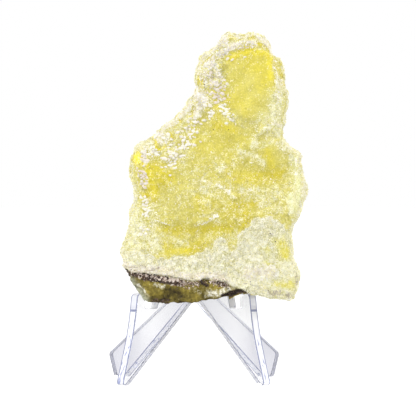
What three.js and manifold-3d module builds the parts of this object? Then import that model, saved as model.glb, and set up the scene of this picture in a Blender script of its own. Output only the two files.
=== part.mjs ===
// Brucite specimen resting on a two-piece clear display easel.
// Millimetres, +Z up; the yellow crust faces -Y. The origin is the middle of the footprint, on the
// surface that the easel stands on. Until the last lines, everything is placed from the upright
// line in which the two easel plates cross.
import * as THREE from 'three';
import { mergeVertices } from 'three/addons/utils/BufferGeometryUtils.js';
import { ImprovedNoise } from 'three/addons/math/ImprovedNoise.js';
import Module from 'manifold-3d';

// ---------------------------------------------------------------- driving dimensions: easel
const GAP = 0.3; // clearance between pieces that touch
const PLATE_THICKNESS = 3;
const PLATE_CHAMFER = 0.25;
const PLATE_TURN = Math.PI / 4; // each plate stands at this angle to the crust face
const SLOT_HALF = PLATE_THICKNESS / 2 + GAP;
const LAP_HEIGHT = 44; // the two half-lap slots meet here
const ARCH_SLOTTED = 24.3; // height of the arch under the plate that is slotted from below
const ARCH_PLAIN = 27.6; // and under the plate that is slotted from above
const MAST_TOP = 63;
const MAST_FOOT = [-17, 22.7]; // front edge of the mast where it leaves the notch
const MAST_SLOPE = 0.254; // how far the mast leans back for each millimetre of height
const LIP_TOP = 27.4;
const LIP_FRONT = -25.1;
const LIP_BACK = -21;
const FRONT_FOOT = { toe: -31.4, heel: -28.9 };
const REAR_FOOT = { heel: 31.4, toe: 34 };
const REAR_CORNER = [36.5, 7.2];

// ---------------------------------------------------------------- driving dimensions: specimen
const LEAN = MAST_SLOPE * Math.sin(PLATE_TURN); // the slab leans back on both masts
const SLAB_BASE = 28; // height at which the depths below are given
const BACK_DEPTH = -12.5; // back face at that height, just clear of the masts
const FRONT_DEPTH = -25.6; // crust face at that height
const HEAD_THINNING = 0.045; // the slab gets thinner by this much for each millimetre of height
const RIM_RADIUS = 4; // rounding where the faces turn into the edges
const EDGE_INSET = 0.8; // how far the faces' borders lie inside the outline
const UNDER_RISE = 2.4; // the underside rises this much towards the back
const CRUST_OVERHANG = 0.9; // the crust stands proud of the matrix below it
const MATRIX_SLOPE = 0.42; // how fast the broken matrix falls away below the crust
const LIP_CLEAR = LIP_TOP + GAP + 0.1;
const GRID = { across: 28, up: 42, deep: 4 };

// Outline of the slab as seen from the front, in four edges that share their end points.
const LEFT_EDGE = [
  [-19.9, 34.4], [-21.3, 40.2], [-19.9, 45.9], [-18.2, 54.5], [-17.9, 58.9], [-19.1, 63.5],
  [-18.3, 67.8], [-17.5, 71.4], [-14.2, 73.2], [-11.7, 75.5], [-5.9, 79.8], [-0.6, 86.8],
  [1.4, 90], [0.3, 92.6], [1.7, 98.1], [3.1, 100.2],
];
const TOP_EDGE = [
  [3.1, 100.2], [7.6, 103.2], [10.6, 107.2], [13.8, 106], [18, 106.8], [21.9, 104.2],
  [24.1, 99.6], [26.3, 98.6],
];
const RIGHT_EDGE = [
  [30.9, 26.2], [31.3, 31.5], [29.7, 38.7], [28.8, 43], [30.7, 49.5], [33.1, 54.5],
  [34.4, 59.4], [33.4, 66], [33, 69.5], [29.5, 71.4], [27.4, 74.3], [27.1, 78.2],
  [28.1, 82.5], [28.4, 87], [27.2, 91], [27.1, 96.5], [26.3, 98.6],
];
const BOTTOM_EDGE = [
  [-19.9, 34.4], [-17.5, 28.6], [-14.5, 25.3], [-9.3, 24.4], [-3.5, 25], [4.2, 24.7],
  [13.8, 27.2], [20.1, 27.6], [24, 26], [30.9, 26.2],
];

// Broad forms of the crust face: [x, z, half width, half height, lift towards the viewer].
const FACE_FORMS = [
  [19.5, 88, 9, 11, 2.6], // smooth dome of the head
  [7.5, 95, 4.5, 5, 0.8], // shoulder of the head
  [13, 78, 8, 5, 0.7], // neck
  [-11, 67, 6, 5, 1.1], // nodular left shoulder
  [-16, 60, 4, 5, 0.6],
  [2, 67, 7, 6, 0.5], // broad swell of the middle
  [5, 54, 10, 5, 1.3], // upper terrace
  [22, 63.5, 8, 3.5, -1.1], // hollow under the neck
  [2, 43, 13, 3.5, -1.7], // long yellow hollow
  [-16, 42, 4, 7, 0.9], // lower left bulge
  [22, 43, 6, 6, 1.1], // lower right bulge
  [31, 60, 4, 10, -2], // thin translucent right edge
];

// Ridges of the crust face: points on the crest, half width and lift.
const RIDGES = [
  { crest: [[2.5, 92], [5, 97.5], [11, 101.6], [18, 102.4], [23, 99]], halfWidth: 1.7, lift: 1.3 },
  { crest: [[3, 87], [6.5, 82.5], [9.5, 78.5], [11.5, 75.8]], halfWidth: 1.8, lift: 1.2 },
  { crest: [[-2.5, 57.5], [3, 60], [8, 58.6], [12.5, 55.4]], halfWidth: 1.4, lift: 0.8 },
];

// Upper limit of the pale lower crust, which stands proud of the yellow hollow above it.
const LEDGE_LINE = [
  [-20, 40], [-12.6, 38.7], [-4.5, 39.4], [3.1, 40.8], [7.6, 43.6], [12.8, 45], [17, 49],
  [22, 50.8], [26.7, 48.2], [34, 47],
];
const LEDGE_LIFT = 1.1;

// Lower limit of the crust, below which the dark matrix shows.
const MATRIX_LINE = [
  [-20, 34.6], [-15, 33], [-7, 30.8], [2, 31.4], [10, 30], [17, 27.2], [31, 26],
];

// White nodules that stand on the crust: [crest of the band, half width, number, least and
// greatest radius].
const NODULE_BANDS = [
  [[[9.5, 98.6], [7.7, 95.2], [6.6, 88], [9, 83.6], [12.6, 78.8]], 2.1, 20, 0.9, 1.3],
  [[[3, 88], [4.6, 84.5], [5, 80.6]], 1.2, 5, 0.9, 1.2],
  [[[0.2, 79], [-1.5, 73.8], [-4.8, 70.5], [-7.6, 66.2]], 2.4, 14, 0.9, 1.3],
  [[[-8.6, 75.5], [-12.5, 70.5], [-16.2, 66.5]], 1.6, 7, 1.1, 1.6],
  [[[-16, 62.8], [-14.2, 56], [-14, 52], [-15.2, 46.8]], 1.2, 8, 0.9, 1.3],
  [[[-10.5, 49.4], [-7.8, 48.2]], 0.3, 3, 0.6, 0.8],
  [[[0.5, 48.2], [6.6, 50.5]], 0.4, 5, 0.6, 0.8],
];

const COLOURS = { crust: '#e3d65c', easel: '#e6e9f2' };

// ---------------------------------------------------------------- helpers
const { clamp, lerp, smoothstep } = THREE.MathUtils;
const noise = new ImprovedNoise();

// A repeatable stream of numbers from 0 to 1.
function randomStream(seed) {
  let state = seed;
  return () => {
    state = (state * 1664525 + 1013904223) % 4294967296;
    return state / 4294967296;
  };
}

// Height of a line of [x, z] points above x.
function heightOn(line, x) {
  const next = line.findIndex(([px]) => px > x);
  if (next === 0) return line[0][1];
  if (next < 0) return line.at(-1)[1];
  const [ax, az] = line[next - 1];
  const [bx, bz] = line[next];
  return lerp(az, bz, (x - ax) / (bx - ax));
}

// Distance from (x, z) to a line of [x, z] points.
function distanceTo(line, x, z) {
  const point = new THREE.Vector3(x, 0, z);
  const nearest = new THREE.Vector3();
  const distances = line.slice(1).map(([bx, bz], i) => {
    const [ax, az] = line[i];
    const segment = new THREE.Line3(new THREE.Vector3(ax, 0, az), new THREE.Vector3(bx, 0, bz));
    segment.closestPointToPoint(point, true, nearest);
    return nearest.distanceTo(point);
  });
  return Math.min(...distances);
}

// A closed outline through [u, z, reach] corners; reach is how far from the corner its rounding
// starts.
function roundedShape(corners) {
  const shape = new THREE.Shape();
  corners.forEach(([u, z, reach], i) => {
    const corner = new THREE.Vector2(u, z);
    const before = new THREE.Vector2(...corners.at(i - 1));
    const after = new THREE.Vector2(...corners[(i + 1) % corners.length]);
    const start = corner.clone().lerp(before, reach / corner.distanceTo(before));
    const end = corner.clone().lerp(after, reach / corner.distanceTo(after));
    if (i === 0) {
      shape.moveTo(start.x, start.y);
    } else {
      shape.lineTo(start.x, start.y);
    }
    if (reach > 0) {
      shape.quadraticCurveTo(corner.x, corner.y, end.x, end.y);
    }
  });
  shape.closePath();
  return shape;
}

// ---------------------------------------------------------------- easel plates
// A plate's outline in its own plane: u runs from the front foot to the rear foot and is 0 where
// the plates cross. The corners go round from the front toe.
const mastFrontAt = (z) => MAST_FOOT[0] + MAST_SLOPE * (z - MAST_FOOT[1]);
const SLOT_FROM_BELOW = [
  [-SLOT_HALF, ARCH_SLOTTED, 0.6], [-SLOT_HALF, LAP_HEIGHT + GAP, 0],
  [SLOT_HALF, LAP_HEIGHT + GAP, 0], [SLOT_HALF, ARCH_SLOTTED, 0.6],
];
const PLAIN_ARCH = [[0, ARCH_PLAIN, 3]];
const PLAIN_TOP = [[4, MAST_TOP, 2.5]];
const SLOT_FROM_ABOVE = [
  [5, MAST_TOP, 1.6], [SLOT_HALF, MAST_TOP, 0.5], [SLOT_HALF, LAP_HEIGHT - GAP, 0],
  [-SLOT_HALF, LAP_HEIGHT - GAP, 0], [-SLOT_HALF, MAST_TOP, 0.5],
];

function plateCorners(arch, top) {
  return [
    [FRONT_FOOT.toe, 0, 0.8], [FRONT_FOOT.heel, 0, 0.3],
    ...arch,
    [REAR_FOOT.heel, 0, 0.3], [REAR_FOOT.toe, 0, 0.8],
    [...REAR_CORNER, 1],
    [8, 26.9, 6], // foot of the mast's rear edge
    ...top,
    [mastFrontAt(MAST_TOP), MAST_TOP, 2.2],
    [...MAST_FOOT, 0.8], [LIP_BACK, MAST_FOOT[1], 0.8], // notch behind the lip
    [LIP_BACK, LIP_TOP, 1.6], [LIP_FRONT, LIP_TOP, 1.6], // lip
    [-26.4, 17, 6], // bend in the front edge
  ];
}

function easelPlate(name, corners, turn) {
  const geometry = new THREE.ExtrudeGeometry(roundedShape(corners), {
    depth: PLATE_THICKNESS - 2 * PLATE_CHAMFER,
    bevelThickness: PLATE_CHAMFER,
    bevelSize: PLATE_CHAMFER,
    bevelOffset: -PLATE_CHAMFER,
    bevelSegments: 1,
    curveSegments: 4,
  });
  geometry.translate(0, 0, PLATE_CHAMFER - PLATE_THICKNESS / 2);
  geometry.rotateX(Math.PI / 2);
  const clear = new THREE.MeshStandardMaterial({
    color: COLOURS.easel, roughness: 0.08, metalness: 0, transparent: true, opacity: 0.45,
  });
  const plate = new THREE.Mesh(geometry, clear);
  plate.name = name;
  plate.rotation.z = turn;
  return plate;
}

// ---------------------------------------------------------------- specimen
function edgeCurve(points) {
  const places = points.map(([x, z]) => new THREE.Vector3(x, 0, z));
  return new THREE.CatmullRomCurve3(places, false, 'centripetal');
}

const edges = {
  left: edgeCurve(LEFT_EDGE),
  right: edgeCurve(RIGHT_EDGE),
  top: edgeCurve(TOP_EDGE),
  bottom: edgeCurve(BOTTOM_EDGE),
};

// A point inside the outline: u runs from the left edge to the right, v from the bottom to the
// top. The four edges are blended, less the blend of their corners.
function outlinePoint(u, v) {
  const left = edges.left.getPointAt(v);
  const right = edges.right.getPointAt(v);
  const bottom = edges.bottom.getPointAt(u);
  const top = edges.top.getPointAt(u);
  const point = left.clone().lerp(right, u);
  point.add(bottom.clone().lerp(top, v));
  const low = edges.left.getPointAt(0).lerp(edges.right.getPointAt(0), u);
  const high = edges.left.getPointAt(1).lerp(edges.right.getPointAt(1), u);
  point.sub(low.lerp(high, v));
  return { x: point.x, z: point.z, width: left.distanceTo(right), height: bottom.distanceTo(top) };
}

// How far the crust face stands towards the viewer, beyond its flat plane.
function faceLift(x, z) {
  let lift = 0;
  for (const [fx, fz, halfWidth, halfHeight, height] of FACE_FORMS) {
    lift += height * Math.exp(-(((x - fx) / halfWidth) ** 2) - ((z - fz) / halfHeight) ** 2);
  }
  for (const { crest, halfWidth, lift: height } of RIDGES) {
    lift += height * Math.exp(-((distanceTo(crest, x, z) / halfWidth) ** 2));
  }
  lift += LEDGE_LIFT * smoothstep(heightOn(LEDGE_LINE, x) - z, -0.6, 1);
  const belowCrust = heightOn(MATRIX_LINE, x) - z;
  lift -= CRUST_OVERHANG * smoothstep(belowCrust, 0, 1.2);
  lift -= MATRIX_SLOPE * Math.max(0, belowCrust);
  return lift;
}

// A point of the slab's skin; w is 1 on the crust face and -1 on the back.
function slabPoint(u, v, w) {
  const place = outlinePoint(u, v);
  const nearLeft = Math.max(0, 1 - (u * place.width) / RIM_RADIUS);
  const nearRight = Math.max(0, 1 - ((1 - u) * place.width) / RIM_RADIUS);
  const nearTop = Math.max(0, 1 - ((1 - v) * place.height) / RIM_RADIUS);
  const nearEdge = Math.min(1, Math.hypot(nearLeft, nearRight, nearTop));
  const rounding = RIM_RADIUS * (1 - Math.sqrt(1 - nearEdge ** 2));
  const inset = EDGE_INSET * w * w;
  const towardsBack = (1 - w) / 2;
  const fade = clamp(1 - (v * place.height) / (4 * UNDER_RISE), 0, 1);
  const x = place.x + inset * (nearLeft - nearRight);
  const z = place.z - inset * nearTop + UNDER_RISE * towardsBack * fade;
  const leaning = LEAN * (z - SLAB_BASE);
  const front = FRONT_DEPTH + leaning + HEAD_THINNING * (z - SLAB_BASE) + rounding - faceLift(x, z);
  const back = BACK_DEPTH + leaning - rounding;
  return new THREE.Vector3(x, lerp(front, back, towardsBack), z);
}

// Rough lumps of the skin, in millimetres outwards. The matrix breaks in flatter faces.
function roughness(point) {
  const { x, y, z } = point;
  const onMatrix = smoothstep(heightOn(MATRIX_LINE, x) - z, 0, 1);
  const coarse = noise.noise(x / 7, y / 7, z / 7);
  const fine = noise.noise(x / 3.6 + 9, y / 3.6, z / 3.6);
  return 0.1 + 0.8 * coarse + lerp(0.9, 0.5, onMatrix) * fine;
}

// The slab touches nothing of the easel: it stays in front of the masts and above the lips.
function clearOfEasel(point) {
  point.y = Math.min(point.y, BACK_DEPTH + LEAN * (point.z - SLAB_BASE));
  const beside = Math.abs(point.x);
  const overLip = smoothstep(beside, 9, 11.5) * (1 - smoothstep(beside, 21, 23.5));
  if (point.y > -20.2 && overLip > 0) {
    point.z = Math.max(point.z, lerp(point.z, LIP_CLEAR, overLip));
  }
  return point;
}

function plainGeometry(geometry) {
  geometry.deleteAttribute('normal');
  geometry.deleteAttribute('uv');
  return mergeVertices(geometry, 1e-4);
}

function slabGeometry() {
  const box = new THREE.BoxGeometry(1, 1, 1, GRID.across, GRID.up, GRID.deep);
  const geometry = plainGeometry(box);
  const position = geometry.attributes.position;
  for (let i = 0; i < position.count; i += 1) {
    const point = slabPoint(position.getX(i) + 0.5, position.getY(i) + 0.5, 2 * position.getZ(i));
    position.setXYZ(i, point.x, point.y, point.z);
  }
  geometry.computeVertexNormals();
  const normal = geometry.attributes.normal;
  for (let i = 0; i < position.count; i += 1) {
    const point = new THREE.Vector3().fromBufferAttribute(position, i);
    const outwards = new THREE.Vector3().fromBufferAttribute(normal, i);
    clearOfEasel(point.addScaledVector(outwards, roughness(point)));
    position.setXYZ(i, point.x, point.y, point.z);
  }
  geometry.deleteAttribute('normal');
  return geometry;
}

// Centres and radii of the nodules, each found on the crust face straight behind its place.
function nodulePlaces(slab) {
  const random = randomStream(7);
  const ray = new THREE.Raycaster();
  const towardsBack = new THREE.Vector3(0, 1, 0);
  const places = [];
  for (const [crest, halfWidth, count, least, greatest] of NODULE_BANDS) {
    const curve = edgeCurve(crest);
    for (let i = 0; i < count; i += 1) {
      const place = curve.getPointAt((i + 0.2 + 0.6 * random()) / count);
      place.x += halfWidth * (2 * random() - 1);
      place.z += halfWidth * (2 * random() - 1);
      const radius = lerp(least, greatest, random());
      ray.set(new THREE.Vector3(place.x, -80, place.z), towardsBack);
      const [hit] = ray.intersectObject(slab);
      if (hit) {
        places.push({ centre: hit.point.addScaledVector(hit.face.normal, -0.2 * radius), radius });
      }
    }
  }
  return places;
}

function noduleGeometry({ centre, radius }, index) {
  const geometry = plainGeometry(new THREE.IcosahedronGeometry(radius, 0));
  geometry.rotateX(index);
  geometry.rotateY(2 * index);
  geometry.translate(centre.x, centre.y, centre.z);
  return geometry;
}

function toSolid(wasm, geometry) {
  return new wasm.Manifold(new wasm.Mesh({
    numProp: 3,
    vertProperties: new Float32Array(geometry.attributes.position.array),
    triVerts: new Uint32Array(geometry.index.array),
  }));
}

function fromSolid(solid) {
  const { vertProperties, triVerts } = solid.getMesh();
  const geometry = new THREE.BufferGeometry();
  geometry.setAttribute('position', new THREE.BufferAttribute(vertProperties, 3));
  geometry.setIndex(new THREE.BufferAttribute(triVerts, 1));
  return geometry;
}

// Crust, nodules and matrix grew together, so they are one solid.
async function brucite() {
  const wasm = await Module();
  wasm.setup();
  const skin = slabGeometry();
  let solid = toSolid(wasm, skin);
  nodulePlaces(new THREE.Mesh(skin)).forEach((place, index) => {
    solid = solid.add(toSolid(wasm, noduleGeometry(place, index)));
  });
  const geometry = fromSolid(solid);
  geometry.computeVertexNormals();
  const crust = new THREE.MeshStandardMaterial({ color: COLOURS.crust, roughness: 0.55, metalness: 0 });
  const specimen = new THREE.Mesh(geometry, crust);
  specimen.name = 'brucite_specimen';
  return specimen;
}

// ---------------------------------------------------------------- the whole part
const part = new THREE.Group();
part.add(easelPlate('easel_plate_left', plateCorners(SLOT_FROM_BELOW, PLAIN_TOP), PLATE_TURN));
part.add(easelPlate('easel_plate_right', plateCorners(PLAIN_ARCH, SLOT_FROM_ABOVE), Math.PI - PLATE_TURN));
part.add(await brucite());

const extent = new THREE.Box3().setFromObject(part);
const middle = extent.getCenter(new THREE.Vector3());
part.position.set(-middle.x, -middle.y, -extent.min.z);

export default part;
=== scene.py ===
"""A yellow brucite specimen that leans on a clear two-piece display easel."""
import math

import bmesh
import bpy
import numpy as np
from bpy.props import FloatProperty, FloatVectorProperty, IntProperty, PointerProperty
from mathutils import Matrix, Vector
from mathutils.bvhtree import BVHTree


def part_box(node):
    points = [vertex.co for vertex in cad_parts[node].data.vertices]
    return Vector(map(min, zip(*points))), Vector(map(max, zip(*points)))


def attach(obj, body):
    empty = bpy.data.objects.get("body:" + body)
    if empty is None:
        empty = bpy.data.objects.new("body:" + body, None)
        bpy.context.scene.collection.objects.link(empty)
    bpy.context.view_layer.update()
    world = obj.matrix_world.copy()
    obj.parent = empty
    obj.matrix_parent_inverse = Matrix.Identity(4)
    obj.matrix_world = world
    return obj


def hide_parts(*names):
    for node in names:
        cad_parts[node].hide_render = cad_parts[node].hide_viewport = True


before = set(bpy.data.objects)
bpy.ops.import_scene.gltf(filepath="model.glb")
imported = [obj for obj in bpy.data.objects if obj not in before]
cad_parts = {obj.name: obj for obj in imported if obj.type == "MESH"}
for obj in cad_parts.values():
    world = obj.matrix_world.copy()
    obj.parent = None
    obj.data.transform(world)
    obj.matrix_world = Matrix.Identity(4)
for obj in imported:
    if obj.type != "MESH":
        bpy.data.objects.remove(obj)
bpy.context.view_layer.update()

bl_info = {
    "name": "Brucite specimen on an easel",
    "version": (1, 0, 0),
    "blender": (4, 5, 0),
    "location": "3D View > Sidebar > Specimen",
    "description": "Builds a yellow brucite crust slab that rests on a clear two-piece easel",
    "category": "Add Mesh",
}

MM = 0.001

# ------------------------------------------------------------------ places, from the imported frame
LEFT_LOW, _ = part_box("easel_plate_left")
_, RIGHT_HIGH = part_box("easel_plate_right")
# The upright line where the two plates cross. Each plate's front toe is as far to the side of it
# as it is in front of it.
CROSS_X = (LEFT_LOW.x + RIGHT_HIGH.x) / 2
CROSS_Y = LEFT_LOW.y + (CROSS_X - LEFT_LOW.x)
CROSSING = Vector((CROSS_X, CROSS_Y, 0.0))

# ------------------------------------------------------------------ sizes of the easel, in mm
# Points are (u, z), with u along the plate, counted from the crossing line.
PLATE_THICKNESS = 3.0
PLATE_TURN = math.radians(45)
GAP = 0.3
SLOT_HALF = PLATE_THICKNESS / 2 + GAP
LAP_HEIGHT = 44.0
ARCH_SLOTTED = 24.3
ARCH_PLAIN = 27.6
MAST_TOP = 63.0
MAST_TOP_FRONT = -6.76
MAST_FOOT = (-17.0, 22.7)
NOTCH_FRONT = -21.0
LIP_FRONT = -25.1
LIP_TOP = 27.4
FOREARM_BEND = (-26.4, 17)
FRONT_TOE = -31.4
FRONT_HEEL = -28.9
REAR_HEEL = 31.4
REAR_TOE = 34
REAR_CORNER = (36.5, 7.2)
MAST_BACK = (8, 26.9)
# Faces between the notch's front wall and the mast, both moved forwards by this margin, and above
# this height are left clear.
NOTCH_MARGIN = 0.5
NOTCH_CLEAR_FROM = MAST_FOOT[1] / 2
# Numbers of the finishes, in the order of the plates' materials.
CLEAR, SATIN, SAWN, ARRIS = range(4)
# How far a face's normal may lean: sideways for an edge face or a polished side, to the rear for a
# sawn edge, and down for an underside.
EDGE_FACING = 0.05
SIDE_FACING = 0.97
SAWN_FACING = 0.3
UNDER_FACING = -0.5
ROUNDING_STEPS = 8
BEVEL_STEPS = 4

# ------------------------------------------------------------------ forms of the crust, in mm
# Points are (x, z), counted from the crossing line and the floor, as in the solid.
FRONT_DEPTH = -25.6
BACK_DEPTH = -12.5
SLAB_BASE = 28.0
FRONT_LEAN = 0.2246
BACK_LEAN = 0.1796

# Upper limit of the pale lower crust, with its lobes.
LEDGE_LINE = (
    (-20, 41), (-13.8, 39.4), (-11.6, 38.7), (-7.8, 38.1), (-5.1, 39), (-3.3, 38.7), (-0.2, 39),
    (2.8, 40.2), (3.6, 41.2), (5.4, 41), (6.2, 43), (7.6, 44.1), (9.3, 44.3), (10.2, 42.6),
    (10.6, 40.4), (11.6, 40.5), (13, 42), (13.4, 45), (15, 46.6), (17, 47.8), (17.3, 49.6),
    (19.4, 50.4), (22.4, 50.7), (24.7, 49.9), (26.6, 48.1), (28.9, 45), (34, 44),
)
# Lower limit of the crust, where the matrix begins.
MATRIX_LINE = (
    (-21, 35.6), (-18.4, 34), (-11.6, 33.5), (-7.8, 33.1), (-3.3, 31.6), (0, 31.3), (2.8, 32),
    (7.3, 31.8), (10.3, 31.2), (11.8, 29.4), (14.9, 28.8), (18, 27.2), (31, 25.4),
)

# Patches of the crust's colours: crest of the patch, half width and strength.
DEEP_PATCHES = (
    (((-16.8, 69.6), (-16.8, 67.2)), 1.2, 2.6),
    (((-15.9, 71.7), (-14.4, 70.8)), 0.5, 1.5),
    (((-11.6, 75.6), (-11.2, 75.2)), 0.35, 1.6),
    (((-7.4, 75.4), (-7, 74.2)), 0.6, 1.3),
    (((-6.2, 78.5), (-5.6, 77.9)), 0.5, 1.1),
    (((-5.4, 80.6), (-3.6, 79.4)), 0.55, 1.5),
    (((-0.4, 84), (0.4, 83)), 0.7, 1.2),
    (((-12.3, 74.4), (-10.6, 71.1), (-9, 71.6)), 0.6, 2.0),
    (((-15.2, 67), (-13.6, 65)), 1.4, 1.6),
    (((-13, 63.6), (-12.4, 58)), 2.3, 1.4),
    (((-12, 65), (-10, 64), (-8, 61.8)), 2.4, 1.15),
    (((-19, 65), (-18.6, 62)), 0.9, 0.8),
    (((-13, 58.6), (-11.6, 57.4)), 1.1, 1.0),
    (((-9.6, 60.5), (-7.8, 59.7)), 0.9, 0.9),
    (((0.6, 56), (1.8, 55.2)), 1.1, 0.7),
    (((22.4, 101.2), (23.2, 97), (22.8, 92.5)), 1.6, 1.5),
    (((26.2, 98.2), (26.6, 90.5)), 0.9, 0.9),
    (((5.1, 99), (4.2, 97.3)), 0.5, 1.5),
    (((2.2, 97.6), (1.5, 96.2)), 0.45, 1.8),
    (((1.7, 92), (2.5, 90.8)), 0.7, 1.4),
    (((9.6, 104.6), (10, 102.8)), 0.35, 0.7),
    (((11.6, 105), (13.2, 104)), 0.4, 0.9),
    (((15.6, 105.7), (18.8, 104.6)), 0.45, 1.4),
    (((19, 103.6), (20.8, 102.4)), 0.5, 1.7),
    (((22.4, 103), (23.4, 100.8)), 0.4, 1.0),
    (((11.9, 98.9), (15, 100.3), (19, 100.5), (22, 99.5)), 1.4, 1.55),
    (((17, 97), (21, 95), (22, 91)), 3.4, 0.85),
    (((12.5, 92), (16, 86), (19, 84)), 3.0, 0.35),
    (((11, 86.5), (15, 83.5)), 2.4, 0.6),
    (((6.5, 86.5), (7, 80), (9, 77.5)), 1.5, 0.6),
    (((7.5, 77.8), (12, 76.8)), 1.8, 0.9),
    (((22.2, 69.2), (23.4, 66)), 2.2, 0.75),
    (((12.4, 62.8), (20, 62.4), (25.4, 63.4)), 2.1, 0.9),
    (((10, 51.4), (14.6, 51.2)), 1.6, 0.7),
    (((9.3, 64), (11, 62.4)), 1.1, 0.7),
    (((2, 53.5), (8, 52.5), (13, 53)), 3.0, 0.45),
    (((12.2, 53.6), (15, 54), (18.4, 55)), 1.3, 0.9),
    (((15.8, 51), (14.8, 47.8)), 2.1, 1.0),
    (((-9, 46.9), (-3, 46.2), (4, 46.5), (11, 47.8)), 1.8, 0.8),
    (((-8, 40.8), (-5, 40.4), (-1, 41), (3.4, 43)), 1.8, 0.85),
    (((26.2, 43), (27.4, 39)), 1.7, 1.0),
    (((16, 41.4), (22, 39.8), (25.6, 37.4)), 2.0, 0.5),
    (((20.6, 36.5), (23, 36.1), (25.4, 36)), 0.6, 0.8),
    (((24.4, 31), (27, 30.5), (29.4, 30.6)), 1.3, 0.85),
    (((-2.7, 84.2), (0.4, 81.6)), 1.2, 0.6),
    (((-8.7, 79.6), (-5.7, 77.8)), 1.2, 0.5),
    (((2, 72), (8, 72), (14, 74)), 5.0, 0.35),
)
PALE_PATCHES = (
    (((-18.6, 51), (-17.6, 45), (-17, 38)), 3.8, 0.9),
    (((32.2, 69), (33, 60), (31.6, 54)), 3.2, 0.85),
    (((28.9, 57.2), (29.3, 52.4)), 1.4, 1.0),
    (((26, 91), (25, 86), (24.6, 76)), 2.4, 0.85),
    (((27, 72.5), (30, 68.5)), 1.6, 0.9),
    (((3, 94), (6, 98.4), (11, 100.4)), 1.8, 0.4),
    (((-2, 56.5), (0.5, 60)), 1.4, 0.3),
    (((17, 57.6), (21, 56.6), (25.5, 56)), 2.6, 0.5),
    (((6.4, 65.6), (9.5, 64.6), (12.2, 62.8)), 1.1, 0.8),
    (((13.4, 70.6), (17, 69), (20.6, 67)), 1.1, 0.7),
    (((17.4, 71.6), (18.6, 75), (22, 77.2), (26, 76.2)), 1.0, 0.85),
    (((19, 71.6), (23.6, 73.4)), 0.9, 0.5),
    (((0.5, 64.5), (3.3, 61)), 1.6, 0.2),
    (((21, 80.5), (24.5, 77.5)), 2.4, 0.5),
    (((-1, 86), (-5, 79), (-12, 73)), 3.2, 0.6),
    (((-8.5, 71.5), (-3, 68.5)), 2.8, 0.45),
    (((13, 80), (16, 77.5)), 2.4, 0.3),
    (((-13, 54), (-12, 49)), 2.2, 0.5),
    (((-12.6, 45.6), (-8, 43.8), (-3, 43.4)), 1.6, 0.45),
    (((17, 42.5), (20, 39), (24, 35), (29, 33.5)), 3.7, 0.75),
    (((-12, 34), (-2, 33), (6, 32.6), (16, 30.6), (22, 32), (25, 29)), 2.6, 0.85),
    (((-13.4, 45), (-10.8, 41)), 1.9, 0.8),
    (((2.4, 58.8), (5.6, 58)), 1.6, 0.6),
    (((20.4, 54.8), (25, 53.6)), 1.4, 0.6),
)
WHITE_PATCHES = (
    (((0.6, 93.4), (2.4, 98.8), (6.6, 102.4), (9, 103), (9.4, 106.4)), 1.1, 1.2),
    (((9.4, 106.4), (11, 107.4), (13.6, 105.6), (17.4, 106.6), (21, 105), (24.2, 100.4)), 1.1, 1.2),
    (((4.2, 96), (6.4, 98.6), (8.9, 100.5), (12.3, 102.4), (15.7, 103.4), (18.6, 103)), 1.1, 0.8),
    (((0.8, 95), (3.5, 92.8), (6.2, 90.5)), 2.0, 0.6),
    (((6.4, 95.6), (8, 93)), 1.4, 0.7),
    (((25.8, 91), (25.4, 86)), 1.3, 0.55),
    (((0.4, 89.6), (1.4, 86.4)), 1.6, 0.9),
    (((2, 88.5), (3, 85), (0.5, 82)), 1.8, 0.75),
    (((-15.6, 70.6), (-13.6, 71.6), (-11, 69.4)), 0.8, 0.6),
    (((-10.8, 75.6), (-9, 73.6)), 1.1, 0.6),
    (((-8.6, 77.4), (-3.6, 81.4), (-1, 85.6), (0.4, 88.4)), 1.5, 0.85),
    (((-17.4, 72), (-13, 73.6), (-11.8, 76)), 1.0, 0.55),
    (((-14.8, 69.6), (-14.4, 67)), 0.8, 0.7),
    (((24.2, 98.6), (24.8, 91.5)), 0.4, 0.75),
    (((2.8, 61), (6.5, 60.1), (9.5, 58.6), (12.2, 56.2)), 0.7, 0.55),
    (((14.4, 57.4), (17.5, 59)), 0.7, 0.5),
    (((24, 79), (25.8, 78.2)), 0.8, 0.7),
    (((31.8, 67.4), (31.5, 63.6)), 0.8, 0.75),
    (((28, 71.8), (30, 69.6)), 0.5, 0.7),
    (((12, 38), (17, 35)), 3.2, 0.3),
    (((16.6, 33.8), (22.6, 34.2)), 2.4, 0.9),
)
STAIN_PATCHES = (
    (((30.6, 34), (31.2, 30.5)), 0.5, 1.1),
    (((-16.2, 63.6), (-15.2, 61.2)), 0.8, 0.6),
    (((-19.8, 35.7), (-15, 35.3), (-11, 34.9)), 0.2, 1.0),
    (((14.6, 31), (18, 30), (22.6, 28.6)), 0.8, 0.5),
    (((23, 28), (28.5, 27.4)), 1.0, 0.7),
)
# Smooth stretches with little frost.
SMOOTH_PATCHES = (
    (((1, 74), (7, 73), (13, 75.5)), 4.6, 0.8),
    (((23, 70.5), (23.6, 65.5)), 2.6, 0.85),
    (((15.5, 81), (15.4, 72)), 2.4, 0.65),
    (((-11, 63), (-3, 61.5)), 2.8, 0.5),
    (((14, 64), (20, 63.5)), 1.6, 0.5),
    (((-8.5, 40.4), (-2, 40.2)), 1.4, 0.6),
    (((26.2, 43), (27.4, 39)), 1.8, 0.5),
    (((24, 31), (27, 30.5), (29.4, 30.6)), 1.4, 0.5),
    (((-8, 46.8), (10, 47)), 1.5, 0.5),
    (((31.6, 68), (31.8, 60), (31, 52)), 1.8, 0.9),
    (((28.9, 57.2), (29.3, 52.4)), 1.1, 0.8),
)
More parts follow.
